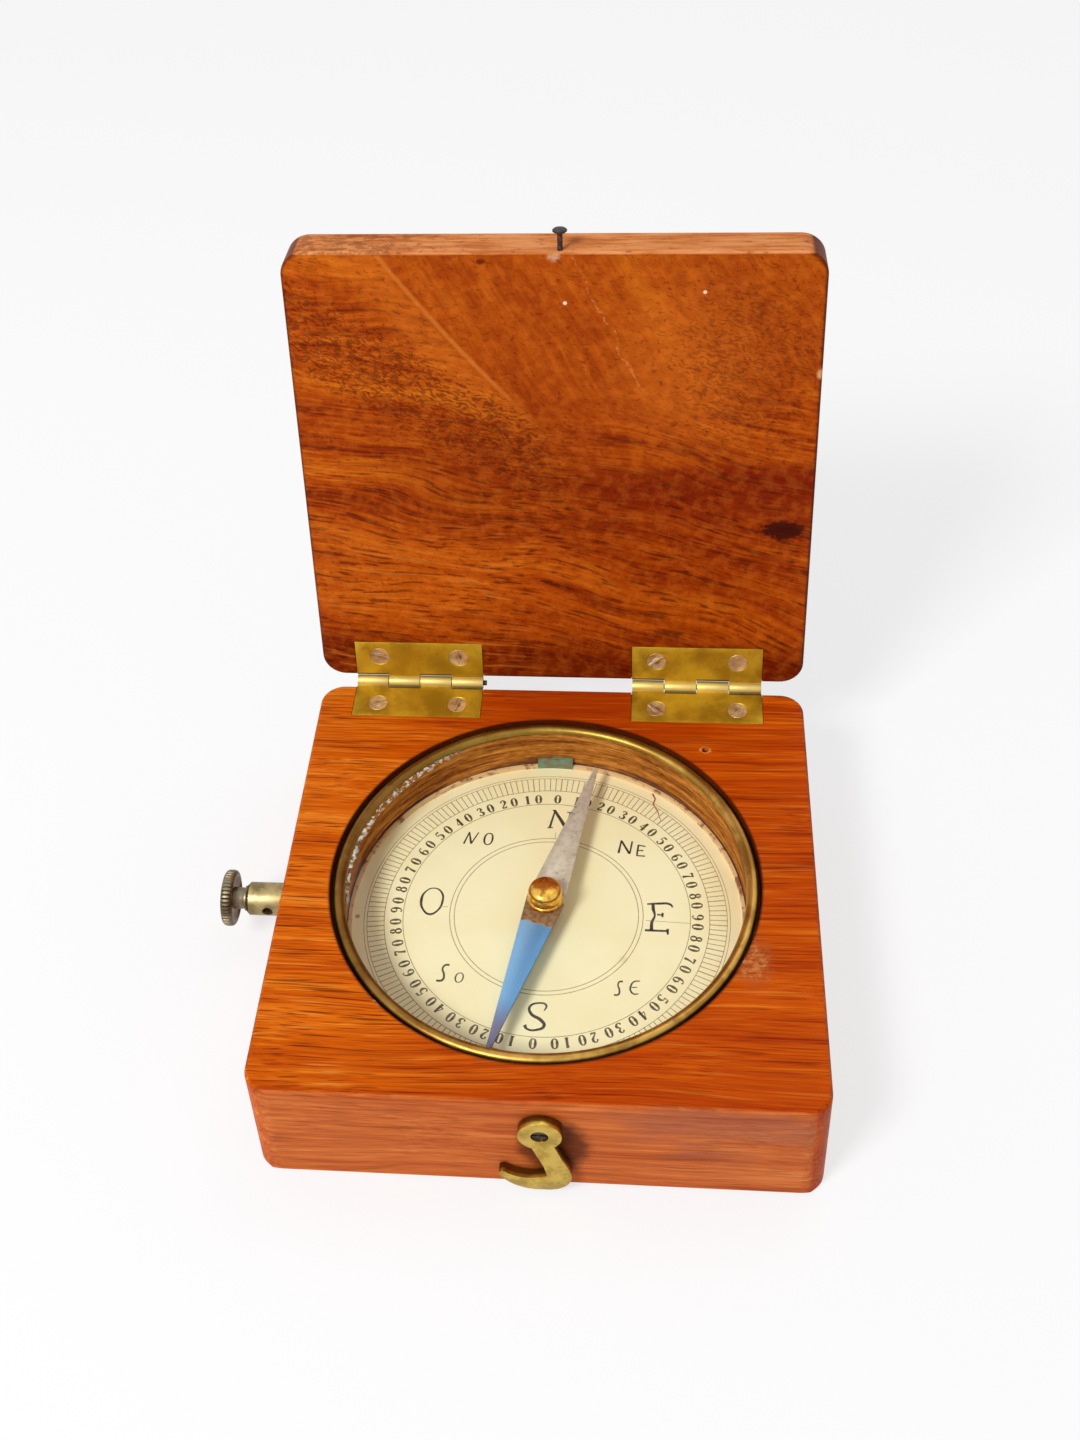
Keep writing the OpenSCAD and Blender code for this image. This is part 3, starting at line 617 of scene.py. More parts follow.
def eased_copy(node, width, segments=2):
    """A copy of a CAD node in millimetres, with its sharp edges rounded by this width."""
    shape = bmesh.new()
    shape.from_mesh(nodes[node].data)
    bmesh.ops.scale(shape, vec=(1000, 1000, 1000), verts=shape.verts)
    bmesh.ops.remove_doubles(shape, verts=shape.verts, dist=0.001)
    bmesh.ops.dissolve_limit(
        shape, angle_limit=math.radians(0.5), verts=shape.verts, edges=shape.edges
    )
    sharp = [
        e for e in shape.edges
        if e.is_manifold and e.calc_face_angle() > math.radians(30)
    ]
    bmesh.ops.bevel(
        shape, geom=sharp, offset=width, offset_type="OFFSET", affect="EDGES",
        segments=segments, profile=0.5, material=-1, clamp_overlap=True,
    )
    bmesh.ops.recalc_face_normals(shape, faces=shape.faces)
    return shape


def brass(name, worn, dull, dirt, rough=0.34, cloud=0.35, shine=1.0, marks=None):
    """Aged brass: worn where it is handled, with dull and dirty patches; marks paint over it."""
    paint = new_paint(name)
    place = millimetres(paint)
    clouds = noise(place, cloud, 4, 0.6)
    colour = mix(step(clouds, 0.36, 0.64), dull, worn)
    grime = step(noise(place, 1.1, 5, 0.65, shift=(4, 4, 4)), 0.57, 0.75)
    colour = mix(grime * 0.4, colour, dirt)
    for amount, mark in marks(place) if marks else ():
        colour = mix(amount, colour, mark)
    scratches = noise(place, (0.6, 9, 9), 3, 0.7)
    surface(
        paint,
        Base_Color=colour,
        Metallic=shine - grime * 0.4 * shine,
        Roughness=rough + clouds * 0.16 + grime * 0.15,
        Normal=bump(scratches * 0.5 + clouds, 0.02, 0.35),
    )
    return paint


leaf_pitch = 27.5
leaf_length = 25.4
knuckle_pair = leaf_length / 2


def hinge_marks(place, west_end, first):
    """Bright knuckles with a painted highlight; dirt and painted shade where the other leaf's knuckles
    turn.
    """
    from_pin = length(vector("MULTIPLY", vector("SUBTRACT", place, tuple(pin_line)), (0, 1, 1)))
    knuckle_wear_and_highlight = step(from_pin, 1.26, 1.18)
    turn = (axis(place, "X") - west_end) / knuckle_pair + 1 - first
    between = step(turn.math("FRACT", turn), 0.49, 0.51)
    crevice_dirt_and_shade = step(from_pin, 2.0, 1.7) * (1 - knuckle_wear_and_highlight) * between
    return (knuckle_wear_and_highlight * 0.75, tone(222, 200, 128)), (crevice_dirt_and_shade * 0.85, tone(40, 28, 10))


for side, middle in (("left", -leaf_pitch), ("right", leaf_pitch)):
    for body, first in (("case", 0), ("lid", 0.5)):
        leaf_brass = brass(
            f"{body}_leaf_brass_{side}", tone(200, 162, 36), tone(164, 126, 20), tone(96, 70, 16),
            rough=0.42, cloud=0.14, shine=0.7,
            marks=lambda place: hinge_marks(place, middle - leaf_length / 2, first),
        )
        leaf = eased_copy(f"{body}_leaf_{side}", 0.07)
        leaf = piece_of(f"{body}_hinge_leaf_{side}", leaf, [leaf_brass], body)
        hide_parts(f"{body}_leaf_{side}")

pin_paint = new_paint("blackened_steel")
place = millimetres(pin_paint)
rust = step(noise(place, 1.6, 5, 0.65), 0.5, 0.66)
surface(
    pin_paint,
    Base_Color=mix(rust, tone(58, 50, 46), tone(96, 62, 46)),
    Metallic=0.9 - rust * 0.6,
    Roughness=0.42 + rust * 0.3,
    Normal=bump(noise(place, 4, 4, 0.6), 0.03, 0.5),
)
dress("hinge_pin_left", pin_paint)
dress("hinge_pin_right", pin_paint)


# Leaf screws: eight turned brass screws, four to a hinge, with slotted and dished heads
# that lie a little below the leaves.
def turned(profile, steps):
    """A closed shape turned about z from (radius, height) points that start and end on it."""
    shape = bmesh.new()
    points = [shape.verts.new((r, 0, h)) for r, h in profile]
    lines = [shape.edges.new(pair) for pair in zip(points, points[1:])]
    bmesh.ops.spin(
        shape, geom=points + lines, cent=(0, 0, 0), axis=(0, 0, 1),
        angle=math.tau, steps=steps, use_merge=True,
    )
    bmesh.ops.remove_doubles(shape, verts=shape.verts, dist=0.0005)
    bmesh.ops.recalc_face_normals(shape, faces=shape.faces)
    return shape


def slotted(shape, width, depth, top):
    """Cuts a slot along x into the faces of a turned head that lie above this height."""
    for offset in (-width / 2, width / 2):
        bmesh.ops.bisect_plane(
            shape, geom=shape.verts[:] + shape.edges[:] + shape.faces[:],
            plane_co=(0, offset, 0), plane_no=(0, 1, 0), dist=0.0001,
        )
    floor_faces = [
        f for f in shape.faces
        if abs(f.calc_center_median().y) < width / 2 and f.normal.z > 0.3
        and f.calc_center_median().z > top
    ]
    pushed = bmesh.ops.extrude_face_region(shape, geom=floor_faces)["geom"]
    floor_verts = [v for v in pushed if isinstance(v, bmesh.types.BMVert)]
    bmesh.ops.translate(shape, vec=(0, 0, -depth), verts=floor_verts)
    bmesh.ops.recalc_face_normals(shape, faces=shape.faces)


def merged(shapes):
    """Several bmeshes in one."""
    whole = bmesh.new()
    for shape, place in shapes:
        bmesh.ops.transform(shape, matrix=place, verts=shape.verts)
        part = bpy.data.meshes.new("part")
        shape.to_mesh(part)
        shape.free()
        whole.from_mesh(part)
        bpy.data.meshes.remove(part)
    return whole


def leaf_screw():
    """One screw, upright, with the face of its leaf at height 0."""
    head = turned([
        (0, -6), (0.35, -5.6), (0.85, -4.2), (0.85, -1.22), (1.86, -0.22), (1.90, -0.12),
        (1.84, -0.04), (1.70, -0.05), (1.45, -0.14), (0.9, -0.20), (0, -0.22),
    ], 48)
    slotted(head, width=0.5, depth=0.4, top=-0.4)
    return head


screw_brass = brass(
    "screw_brass", tone(216, 190, 146), tone(176, 142, 112), tone(84, 58, 40), shine=0.8
)
screw_pitch = 7.9
screw_line = 42.25
case_screws = []
lid_screws = []

# What stands on the case's place is mirrored across the hinge line onto the open lid
lid_place = Matrix.Translation(pin_line) @ Matrix.Rotation(-lid_open, 4, "X")
lid_place = lid_place @ Matrix.Diagonal((1, 1, -1, 1)) @ Matrix.Translation(-pin_line)
for side, end, slot_turn in ((-1, -1, 20), (-1, 1, 75), (1, -1, 140), (1, 1, 50)):
    turn = Matrix.Rotation(math.radians(slot_turn), 4, "Z")
    screw_x = side * leaf_pitch + end * screw_pitch
    spot = Matrix.Translation((screw_x, screw_line, case_top))
    case_screws.append((leaf_screw(), spot @ turn))
    lid_screws.append((leaf_screw(), lid_place @ spot @ turn))
case_set = piece_of("case_leaf_screws", merged(case_screws), [screw_brass], "case")
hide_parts("case_hinge_screws")
lid_set = merged(lid_screws)
bmesh.ops.recalc_face_normals(lid_set, faces=lid_set.faces)
lid_set = piece_of("lid_leaf_screws", lid_set, [screw_brass], "lid")
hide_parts("lid_hinge_screws")


# Works under the card: a brass bridge, screwed to the floor of the well, holds the post with
# its steel point and the ear that the lock's shaft turns in.
works_brass = brass("works_brass", tone(206, 164, 84), tone(170, 128, 58), tone(110, 80, 40))
for node in ("pivot_bridge", "bridge_screws", "pivot_post", "lifting_collar", "shaft_collar"):
    dress(node, works_brass)

steel_paint = new_paint("drawn_steel")
place = millimetres(steel_paint)
surface(
    steel_paint,
    Base_Color=mix(noise(place, 0.8, 4), tone(150, 148, 146), tone(196, 194, 192)),
    Metallic=1.0,
    Roughness=0.22 + noise(place, 2.5, 3) * 0.16,
    Normal=bump(noise(place, (6, 6, 6), 3), 0.01, 0.3),
)
dress("pivot_point", steel_paint)
dress("lock_shaft", steel_paint)


# Dial: a cream paper card pasted on a thin plate that lies on the ledge of the well.
# It was engraved with the circles and numerals; the letters were added by pen.
plate_paint = new_paint("plate_metal")
place = millimetres(plate_paint)
surface(
    plate_paint,
    Base_Color=mix(noise(place, 0.3, 4), tone(150, 146, 132), tone(184, 180, 164)),
    Metallic=0.9,
    Roughness=0.4 + noise(place, 2, 3) * 0.2,
    Normal=bump(noise(place, 3, 3), 0.01, 0.3),
)
dress("dial_plate", plate_paint)

card_top = 12.75
card_paint = new_paint("aged_card")
place = millimetres(card_paint)
age = noise(place, 0.06, 4, 0.55)
colour = mix(step(age, 0.35, 0.65), tone(253, 244, 200), tone(250, 237, 188))
shade = step(from_middle(place) + noise(place, 0.12, 3) * 6, 30, 40)
colour = mix(shade * 0.25, colour, tone(232, 208, 156))
foxing = step(noise(place, 0.9, 3, 0.6, shift=(9, 9, 9)), 0.70, 0.80)
spot = near(place, (-34.5, -2, card_top), 0.25, 0.6)
spot = spot + near(place, (14.3, -9.5, card_top), 0.1, 1.3) * 0.25
colour = mix(foxing * 0.25 + spot * 0.75, colour, tone(150, 92, 44))
surface(
    card_paint,
    Base_Color=colour,
    Roughness=0.72,
    Normal=bump(noise(place, 5, 3, 0.6), 0.01, 0.4),
)
dress("dial_card", card_paint)

ring_paint = new_paint("card_ring")
place = millimetres(ring_paint)
rot = step(noise(place, 0.5, 4, 0.6), 0.5, 0.64)
surface(
    ring_paint,
    Base_Color=mix(rot, tone(226, 190, 140), tone(150, 96, 58)),
    Roughness=0.75,
    Normal=bump(noise(place, 3, 4), 0.04, 0.5),
)
dress("card_ring", ring_paint)

tab_paint = new_paint("verdigris_tab")
place = millimetres(tab_paint)
green = step(noise(place, (0.6, 0.6, 0.9), 4, 0.6, shift=(2, 0, 0)), 0.42, 0.58)
surface(
    tab_paint,
    Base_Color=mix(green, tone(128, 122, 100), tone(104, 146, 124)),
    Metallic=0.5 - green * 0.4,
    Roughness=0.5 + green * 0.2,
    Normal=bump(noise(place, 2.5, 4), 0.05, 0.5),
)
dress("north_tab", tab_paint)


# Printing on the card: fine engraved circles, ticks and numerals, and letters drawn by hand.
# Each is a film of ink that lies on the card.
def ink(name, dark, thin):
    """Dull ink, dark where it is whole and paler where it has worn thin."""
    paint = new_paint(name)
    place = millimetres(paint)
    worn = step(noise(place, 1.6, 4, 0.6), 0.40, 0.66)
    surface(paint, Base_Color=mix(worn, dark, thin), Roughness=0.6)
    return paint


ink_film = 0.012
print_turn = Matrix.Rotation(math.radians(-2.5), 4, "Z")
print_place = Matrix.Translation((0, 0, card_top)) @ print_turn
line_ink = ink("line_ink", tone(146, 130, 88), tone(178, 162, 116))
numeral_ink = ink("numeral_ink", tone(70, 60, 30), tone(104, 92, 54))
letter_ink = ink("letter_ink", tone(42, 36, 24), tone(70, 62, 42))


def ink_circle(shape, inner, width):
    """A flat ring with a closed rectangular section."""
    section = [
        shape.verts.new((inner, 0, 0)), shape.verts.new((inner + width, 0, 0)),
        shape.verts.new((inner + width, 0, ink_film)), shape.verts.new((inner, 0, ink_film)),
    ]
    sides = [shape.edges.new((section[i], section[i - 1])) for i in range(4)]
    bmesh.ops.spin(
        shape, geom=section + sides, cent=(0, 0, 0), axis=(0, 0, 1),
        angle=math.tau, steps=160, use_merge=True,
    )


def ink_mark(shape, degrees, middle, span, width):
    """A straight line that points away from the middle of the card."""
    place = Matrix.Rotation(math.radians(-degrees), 4, "Z")
    place = place @ Matrix.Translation((0, middle, ink_film / 2))
    place = place @ Matrix.Diagonal((width, span, ink_film, 1))
    bmesh.ops.create_cube(shape, size=1, matrix=place)


rings = bmesh.new()
for inner, width in (
    (26.1, 0.13), (29.55, 0.13), (32.7, 0.11), (33.25, 0.11), (16.72, 0.14), (17.55, 0.14)
):
    ink_circle(rings, inner, width)
for degrees in range(0, 360, 2):
    ink_mark(rings, degrees, 31.15, 3.15, 0.20 if degrees % 10 == 0 else 0.15)
for degrees, inner, outer in (
    (90, 18.1, 26.1), (-90, 18.1, 19.7), (180, 26.2, 28.1), (0, 17.7, 19.2)
):
    ink_mark(rings, degrees, (inner + outer) / 2, outer - inner, 0.09)
bmesh.ops.remove_doubles(rings, verts=rings.verts, dist=0.0005)
bmesh.ops.recalc_face_normals(rings, faces=rings.faces)
piece_of("dial_circles", rings, [line_ink], "case", print_place)

# Pen strokes as (x, y, pen width) in a box of one by one: "l" is a straight stroke, "s" a
# curved one and "o" one that closes on itself
GLYPHS = {
    "0": [("o", (0.30, 0.97, 0.07), (0.52, 0.5, 0.21), (0.30, 0.03, 0.07), (0.08, 0.5, 0.21))],
    "1": [
        ("l", (0.30, 1.0, 0.19), (0.30, 0.0, 0.19)), ("l", (0.12, 0.03, 0.06), (0.48, 0.03, 0.06)),
        ("l", (0.30, 0.98, 0.07), (0.12, 0.86, 0.05)),
    ],
    "2": [
        ("s", (0.10, 0.74, 0.14), (0.16, 0.93, 0.08), (0.34, 0.98, 0.09), (0.50, 0.76, 0.20),
         (0.32, 0.40, 0.11), (0.09, 0.10, 0.07)),
        ("l", (0.09, 0.08, 0.10), (0.52, 0.08, 0.15)), ("l", (0.52, 0.06, 0.06), (0.54, 0.24, 0.05)),
    ],
    "3": [
        ("s", (0.09, 0.82, 0.13), (0.28, 0.98, 0.07), (0.48, 0.77, 0.18), (0.26, 0.54, 0.06)),
        ("s", (0.26, 0.54, 0.06), (0.53, 0.27, 0.20), (0.28, 0.02, 0.07), (0.07, 0.17, 0.14)),
    ],
    "4": [
        ("l", (0.40, 1.0, 0.06), (0.04, 0.30, 0.06)), ("l", (0.03, 0.29, 0.07), (0.57, 0.29, 0.07)),
        ("l", (0.40, 1.0, 0.18), (0.40, 0.0, 0.18)), ("l", (0.26, 0.03, 0.06), (0.54, 0.03, 0.06)),
    ],
    "5": [
        ("l", (0.13, 0.93, 0.10), (0.50, 0.96, 0.15)), ("l", (0.14, 0.95, 0.06), (0.11, 0.54, 0.06)),
        ("s", (0.11, 0.54, 0.06), (0.31, 0.62, 0.08), (0.53, 0.33, 0.20), (0.28, 0.02, 0.07),
         (0.07, 0.15, 0.14)),
    ],
    "6": [
        ("s", (0.49, 0.90, 0.12), (0.30, 0.97, 0.06), (0.09, 0.45, 0.19), (0.30, 0.03, 0.07),
         (0.52, 0.28, 0.18), (0.32, 0.55, 0.06), (0.12, 0.36, 0.08)),
    ],
    "7": [
        ("l", (0.06, 0.92, 0.17), (0.53, 0.92, 0.11)), ("s", (0.53, 0.94, 0.06), (0.34, 0.50, 0.13),
         (0.25, 0.0, 0.20)), ("l", (0.07, 0.96, 0.05), (0.06, 0.76, 0.05)),
    ],
    "8": [
        ("o", (0.30, 0.98, 0.07), (0.46, 0.77, 0.16), (0.30, 0.54, 0.08), (0.13, 0.77, 0.16)),
        ("o", (0.30, 0.54, 0.08), (0.52, 0.27, 0.17), (0.30, 0.02, 0.07), (0.08, 0.27, 0.17)),
    ],
    "9": [
        ("s", (0.11, 0.10, 0.12), (0.30, 0.03, 0.06), (0.51, 0.55, 0.19), (0.30, 0.97, 0.07),
         (0.08, 0.72, 0.18), (0.28, 0.45, 0.06), (0.48, 0.64, 0.08)),
    ],
    "N": [
        ("l", (0.06, 0.01, 0.10), (0.22, 0.98, 0.07)), ("l", (0.20, 1.0, 0.12), (0.86, 0.02, 0.17)),
        ("l", (0.86, 0.02, 0.07), (0.97, 0.93, 0.08)), ("l", (-0.05, 0.0, 0.06), (0.22, 0.02, 0.05)),
        ("l", (0.80, 0.94, 0.05), (1.10, 0.93, 0.05)), ("l", (0.10, 1.0, 0.05), (0.24, 1.0, 0.07)),
    ],
    "S": [
        ("s", (0.86, 0.72, 0.04), (0.92, 0.93, 0.07), (0.58, 0.99, 0.06), (0.16, 0.83, 0.08),
         (0.26, 0.58, 0.10), (0.74, 0.38, 0.11), (0.93, 0.18, 0.10), (0.62, 0.02, 0.08),
         (0.14, 0.03, 0.07), (0.02, 0.16, 0.12)),
    ],
    "E": [
        ("s", (0.02, 0.93, 0.05), (0.45, 0.97, 0.07), (0.88, 0.97, 0.07), (0.99, 0.88, 0.04)),
        ("s", (0.24, 0.94, 0.08), (0.26, 0.78, 0.09), (0.33, 0.57, 0.05), (0.24, 0.36, 0.08),
         (0.24, 0.10, 0.09)),
        ("l", (0.0, 0.09, 0.07), (0.86, 0.11, 0.06)), ("l", (0.84, 0.18, 0.07), (0.86, 0.0, 0.05)),
        ("l", (0.42, 0.61, 0.06), (0.64, 0.61, 0.03)), ("l", (0.62, 0.68, 0.06), (0.62, 0.54, 0.05)),
    ],
    "O": [
        ("o", (0.5, 1.0, 0.04), (0.85, 0.88, 0.06), (0.98, 0.5, 0.07), (0.80, 0.13, 0.06),
         (0.5, 0.0, 0.08), (0.2, 0.14, 0.06), (0.02, 0.5, 0.09), (0.16, 0.86, 0.05)),
    ],
    "n": [
        ("l", (0.0, 0.0, 0.12), (0.30, 1.0, 0.08)), ("l", (0.30, 0.95, 0.10), (0.55, 0.05, 0.14)),
        ("l", (0.55, 0.03, 0.10), (1.0, 1.0, 0.08)),
    ],
    "o": [("o", (0.55, 0.98, 0.08), (0.95, 0.62, 0.13), (0.45, 0.02, 0.08), (0.05, 0.40, 0.14))],
    "s": [
        ("s", (0.95, 0.98, 0.12), (0.58, 0.94, 0.10), (0.42, 0.72, 0.09), (0.62, 0.40, 0.10),
         (0.55, 0.08, 0.11), (0.05, 0.02, 0.12)),
    ],
    "M": [
        ("l", (0.02, 0.0, 0.14), (0.16, 1.0, 0.10)), ("l", (0.16, 0.98, 0.13), (0.84, 0.0, 0.14)),
        ("l", (0.86, 0.0, 0.10), (0.98, 0.98, 0.11)),
    ],
    "e": [
        ("l", (0.12, 0.95, 0.09), (0.92, 0.86, 0.10)), ("l", (0.14, 0.96, 0.13), (0.04, 0.03, 0.11)),
        ("l", (0.10, 0.48, 0.08), (0.72, 0.50, 0.10)), ("l", (0.02, 0.03, 0.10), (0.95, 0.03, 0.11)),
    ],
    "c": [
        ("s", (0.98, 0.98, 0.08), (0.45, 0.92, 0.09), (0.15, 0.62, 0.11), (0.14, 0.25, 0.11),
         (0.50, 0.02, 0.10), (0.92, 0.06, 0.07)),
        ("l", (0.20, 0.48, 0.07), (0.75, 0.52, 0.06)),
    ],
}


def write(curve, glyph, place, width, height, pen_width=1.0):
    """Adds the strokes of one glyph, centred on its place, as flat ribbons of ink."""
    for kind, *points in GLYPHS[glyph]:
        stroke = curve.splines.new("BEZIER")
        stroke.bezier_points.add(len(points) - 1)
        stroke.use_cyclic_u = kind == "o"
        stroke.resolution_u = 1 if kind == "l" else 6
        for knot, (x, y, pen) in zip(stroke.bezier_points, points):
            knot.co = place @ Vector(((x - 0.5) * width, (y - 0.5) * height, 0)) * 0.001
            knot.radius = pen * height * pen_width
            knot.tilt = math.pi / 2
            knot.handle_left_type = "VECTOR" if kind == "l" else "AUTO"
            knot.handle_right_type = knot.handle_left_type


def inked(name, curve, paint):
    """Makes ribbons a thin closed film of ink and puts it on the case's body."""
    curve.dimensions = "3D"
    curve.twist_mode = "Z_UP"
    curve.extrude = 0.0005
    drawn = bpy.data.objects.new(name + "_strokes", curve)
    bpy.context.scene.collection.objects.link(drawn)
    ready = drawn.evaluated_get(bpy.context.evaluated_depsgraph_get())
    flat = bpy.data.meshes.new_from_object(ready)
    bpy.data.objects.remove(drawn)
    shape = bmesh.new()
    shape.from_mesh(flat)
    bpy.data.meshes.remove(flat)
    bmesh.ops.remove_doubles(shape, verts=shape.verts, dist=0.000001)
    bmesh.ops.solidify(shape, geom=shape.faces[:], thickness=ink_film / 1000)
    for point in shape.verts:
        point.co.z = max(point.co.z, (card_top - ink_film) / 1000)
    bmesh.ops.recalc_face_normals(shape, faces=shape.faces)
    mesh = bpy.data.meshes.new(name)
    shape.to_mesh(mesh)
    shape.free()
    link(name, mesh, [paint], "case")


# The numerals count from 0 at north and south to 90 at east and west
ink_lift = 0.01
numerals = bpy.data.curves.new("numerals", "CURVE")
numeral_radius = 27.5
digit_step = 2.14 / numeral_radius
for tens in range(36):
    away = tens % 18
    text = str(10 * min(away, 18 - away))
    for i, digit in enumerate(text):
        lean = math.radians(tens * 10) + (i - (len(text) - 1) / 2) * digit_step
        place = print_place @ Matrix.Rotation(-lean, 4, "Z")
        place = place @ Matrix.Translation((0, numeral_radius, ink_lift))
        write(numerals, digit, place, 1.98, 2.05, 1.25)
inked("dial_numerals", numerals, numeral_ink)

# Each letter with its place, width and height
letters = bpy.data.curves.new("letters", "CURVE")
LETTERS = (
    ("N", 1.44, 22.4, 4.0, 4.4), ("S", -0.58, -22.0, 3.7, 5.6), ("E", 20.5, -0.2, 4.8, 7.0),
    ("O", -21.2, 2.0, 4.1, 6.0),
    ("n", -15.2, 17.2, 2.5, 2.95), ("o", -11.9, 17.1, 1.7, 2.9),
    ("M", 14.1, 16.1, 2.5, 3.1), ("e", 17.1, 15.4, 1.7, 2.8),
    ("s", -17.6, -13.7, 2.1, 3.7), ("o", -14.6, -14.6, 1.5, 2.1),
    ("s", 13.5, -15.6, 1.5, 3.1), ("c", 16.3, -15.3, 1.8, 2.9),
)
for glyph, x, y, width, height in LETTERS:
    place = Matrix.Translation((x, y, card_top + ink_lift)) @ print_turn
    write(letters, glyph, place, width, height)
inked("dial_letters", letters, letter_ink)

# A brown crack in the card's north-east, drawn in the same way
crack = bpy.data.curves.new("crack", "CURVE")
GLYPHS["crack"] = [
    ("l", (0.38, 1.0, 0.05), (0.46, 0.80, 0.035)), ("l", (0.46, 0.80, 0.035), (0.40, 0.62, 0.04)),
    ("l", (0.40, 0.62, 0.04), (0.52, 0.38, 0.03)), ("l", (0.52, 0.38, 0.03), (0.62, 0.0, 0.012)),
]
write(crack, "crack", Matrix.Translation((19.9, 26.1, card_top + ink_lift)), 7, 7)
crack_paint = ink("crack_stain", tone(134, 48, 18), tone(160, 78, 38))
inked("card_crack", crack, crack_paint)


# Needle: a thin steel lozenge, bright towards north and blued towards south, with a domed
# brass cap riveted through its middle and a stone in the cap that rides on the point.
needle_heading = math.radians(14.2)
needle_paint = new_paint("needle_steel")
place = millimetres(needle_paint, turn=(0, 0, needle_heading))
ahead = axis(place, "Y")
mottle = noise(place, 0.8, 5, 0.65)
bright = mix(step(mottle, 0.40, 0.56) * 0.5, tone(214, 204, 184), tone(188, 172, 148))
bright = mix(step(mottle, 0.60, 0.68) * 0.7, bright, tone(128, 118, 108))
aside = axis(place, "X")
# Across the blued half: painted light on its west side and painted shade on its east side
blue = mix(step(aside, -2.5, 2.0), tone(128, 174, 214), tone(92, 144, 192))
blue = mix(step(ahead, -21, -29), blue, tone(110, 104, 130))
blue = mix(step(mottle, 0.56, 0.68) * 0.25, blue, tone(100, 134, 170))
ragged = noise(place, 0.7, 3) * 1.6
south = step(ahead + ragged, -4.4, -5.0)
steel = mix(south, bright, blue)
hub = step(ahead + ragged, 1.6, 0.4) * step(ahead + ragged, -5.0, -4.4)
rusty = mix(step(noise(place, 1.3, 4, 0.6), 0.42, 0.6), tone(150, 106, 54), tone(104, 66, 44))
steel = mix(hub * 0.9, steel, rusty)
surface(
    needle_paint,
    Base_Color=steel,
    Metallic=0.35,
    Roughness=0.42 + mottle * 0.16 + hub * 0.15,
    Specular_IOR_Level=0.25,
    Normal=bump(mottle, 0.015, 0.4),
)
blade = eased_copy("needle_blade", 0.14)
blade = piece_of("compass_needle", blade, [needle_paint], "needle")
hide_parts("needle_blade")


def arc(centre, radius, start, end, count):
    """Points of an arc in a turned profile, from one angle to another, in degrees."""
    angles = [math.radians(start + (end - start) * i / (count - 1)) for i in range(count)]
    return [(centre[0] + radius * math.cos(a), centre[1] + radius * math.sin(a)) for a in angles]


cap_brass = new_paint("polished_brass")
place = millimetres(cap_brass)
tarnish = noise(place, 0.9, 4, 0.6)
surface(
    cap_brass,
    Base_Color=mix(step(tarnish, 0.40, 0.66), tone(232, 184, 84), tone(186, 128, 44)),
    Metallic=1.0,
    Roughness=0.16 + tarnish * 0.14,
    Normal=bump(tarnish, 0.02, 0.3),
)
cap_profile = [(0, 16.36), (2.1, 16.36), (2.1, 16.82)]
cap_profile += arc((2.82, 17.3), 0.48, -90, 90, 9)
cap_profile += [(2.72, 17.8), (2.70, 18.0), (2.78, 18.1)]
cap_profile += arc((2.88, 18.26), 0.22, -90, 0, 5)
dome_bulge = 0.64
dome_radius = 3.1
dome_foot = 18.34
dome_height = 2.24
for i in range(20):
    a = math.radians(3 + 83 * i / 19)
    out = dome_radius * math.cos(a) ** dome_bulge
    cap_profile.append((out, dome_foot + dome_height * math.sin(a) ** dome_bulge))
cap_profile.append((0, 20.58))
cap = piece_of("needle_cap_dome", turned(cap_profile, 72), [cap_brass], "needle")
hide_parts("needle_cap")

stone_paint = new_paint("agate")
place = millimetres(stone_paint)
surface(
    stone_paint,
    Base_Color=mix(noise(place, 1.5, 4), tone(120, 40, 34), tone(168, 76, 60)),
    Roughness=0.15,
    Transmission_Weight=0.2,
)
dress("cap_jewel", stone_paint)


# Window: a disc of old glass in the rebate, its edge in the north-west flaked and painted with white
# glints, and held down by a half-round brass ring that is dull, darker towards the west, with painted
# shade on its north side and dirt and painted shade on the outside.
glass_paint = new_paint("window_glass")
place = millimetres(glass_paint)
clear = glass_paint.node(
    "BsdfPrincipled", {},
    {"Base Color": (1, 1, 1, 1), "Roughness": 0.0, "IOR": 1.18, "Transmission Weight": 1.0},
)
passing = glass_paint.node("BsdfTransparent", {}, {"Color": (0.97, 0.98, 0.97, 1)})
shadow = glass_paint.node("LightPath", {}, {}, "Is Shadow Ray")
diffuse = glass_paint.node("LightPath", {}, {}, "Is Diffuse Ray")
pane = glass_paint.node("MixShader", {}, [shadow.math("MAXIMUM", shadow, diffuse), clear, passing])
# White flecks painted on the flaked edge, as the glints it catches
flaked_glint = glass_paint.node(
    "BsdfPrincipled", {}, {"Base Color": tone(226, 226, 206), "Roughness": 0.4}
)
edge_flakes_and_glints = step(noise(place, 0.9, 4, 0.7), 0.50, 0.56) * step(from_middle(place), 34.9, 35.3)
arc_side = near(place, (-29, 14, 22.4), 12, 24)
pane = glass_paint.node("MixShader", {}, [edge_flakes_and_glints * arc_side * 0.8, pane, flaked_glint])
glass_paint.node("OutputMaterial", {}, {"Surface": pane})
dress("cover_glass", glass_paint)

bezel_brass = new_paint("bezel_brass")
place = millimetres(bezel_brass)
clouds = noise(place, 0.16, 4, 0.6)
colour = mix(step(clouds, 0.38, 0.62), tone(150, 110, 44), tone(192, 150, 74))
# Darker towards the west, and painted shade on the north side to dim its highlight
colour = mix(step(axis(place, "X"), 6, -34) * 0.7, colour, tone(96, 60, 20))
colour = mix(step(axis(place, "Y"), 20, 36) * 0.6, colour, tone(126, 104, 40))
lime = step(noise(place, 0.7, 5, 0.6, shift=(2, 8, 1)), 0.60, 0.72)
colour = mix(lime * 0.45, colour, tone(106, 104, 66))
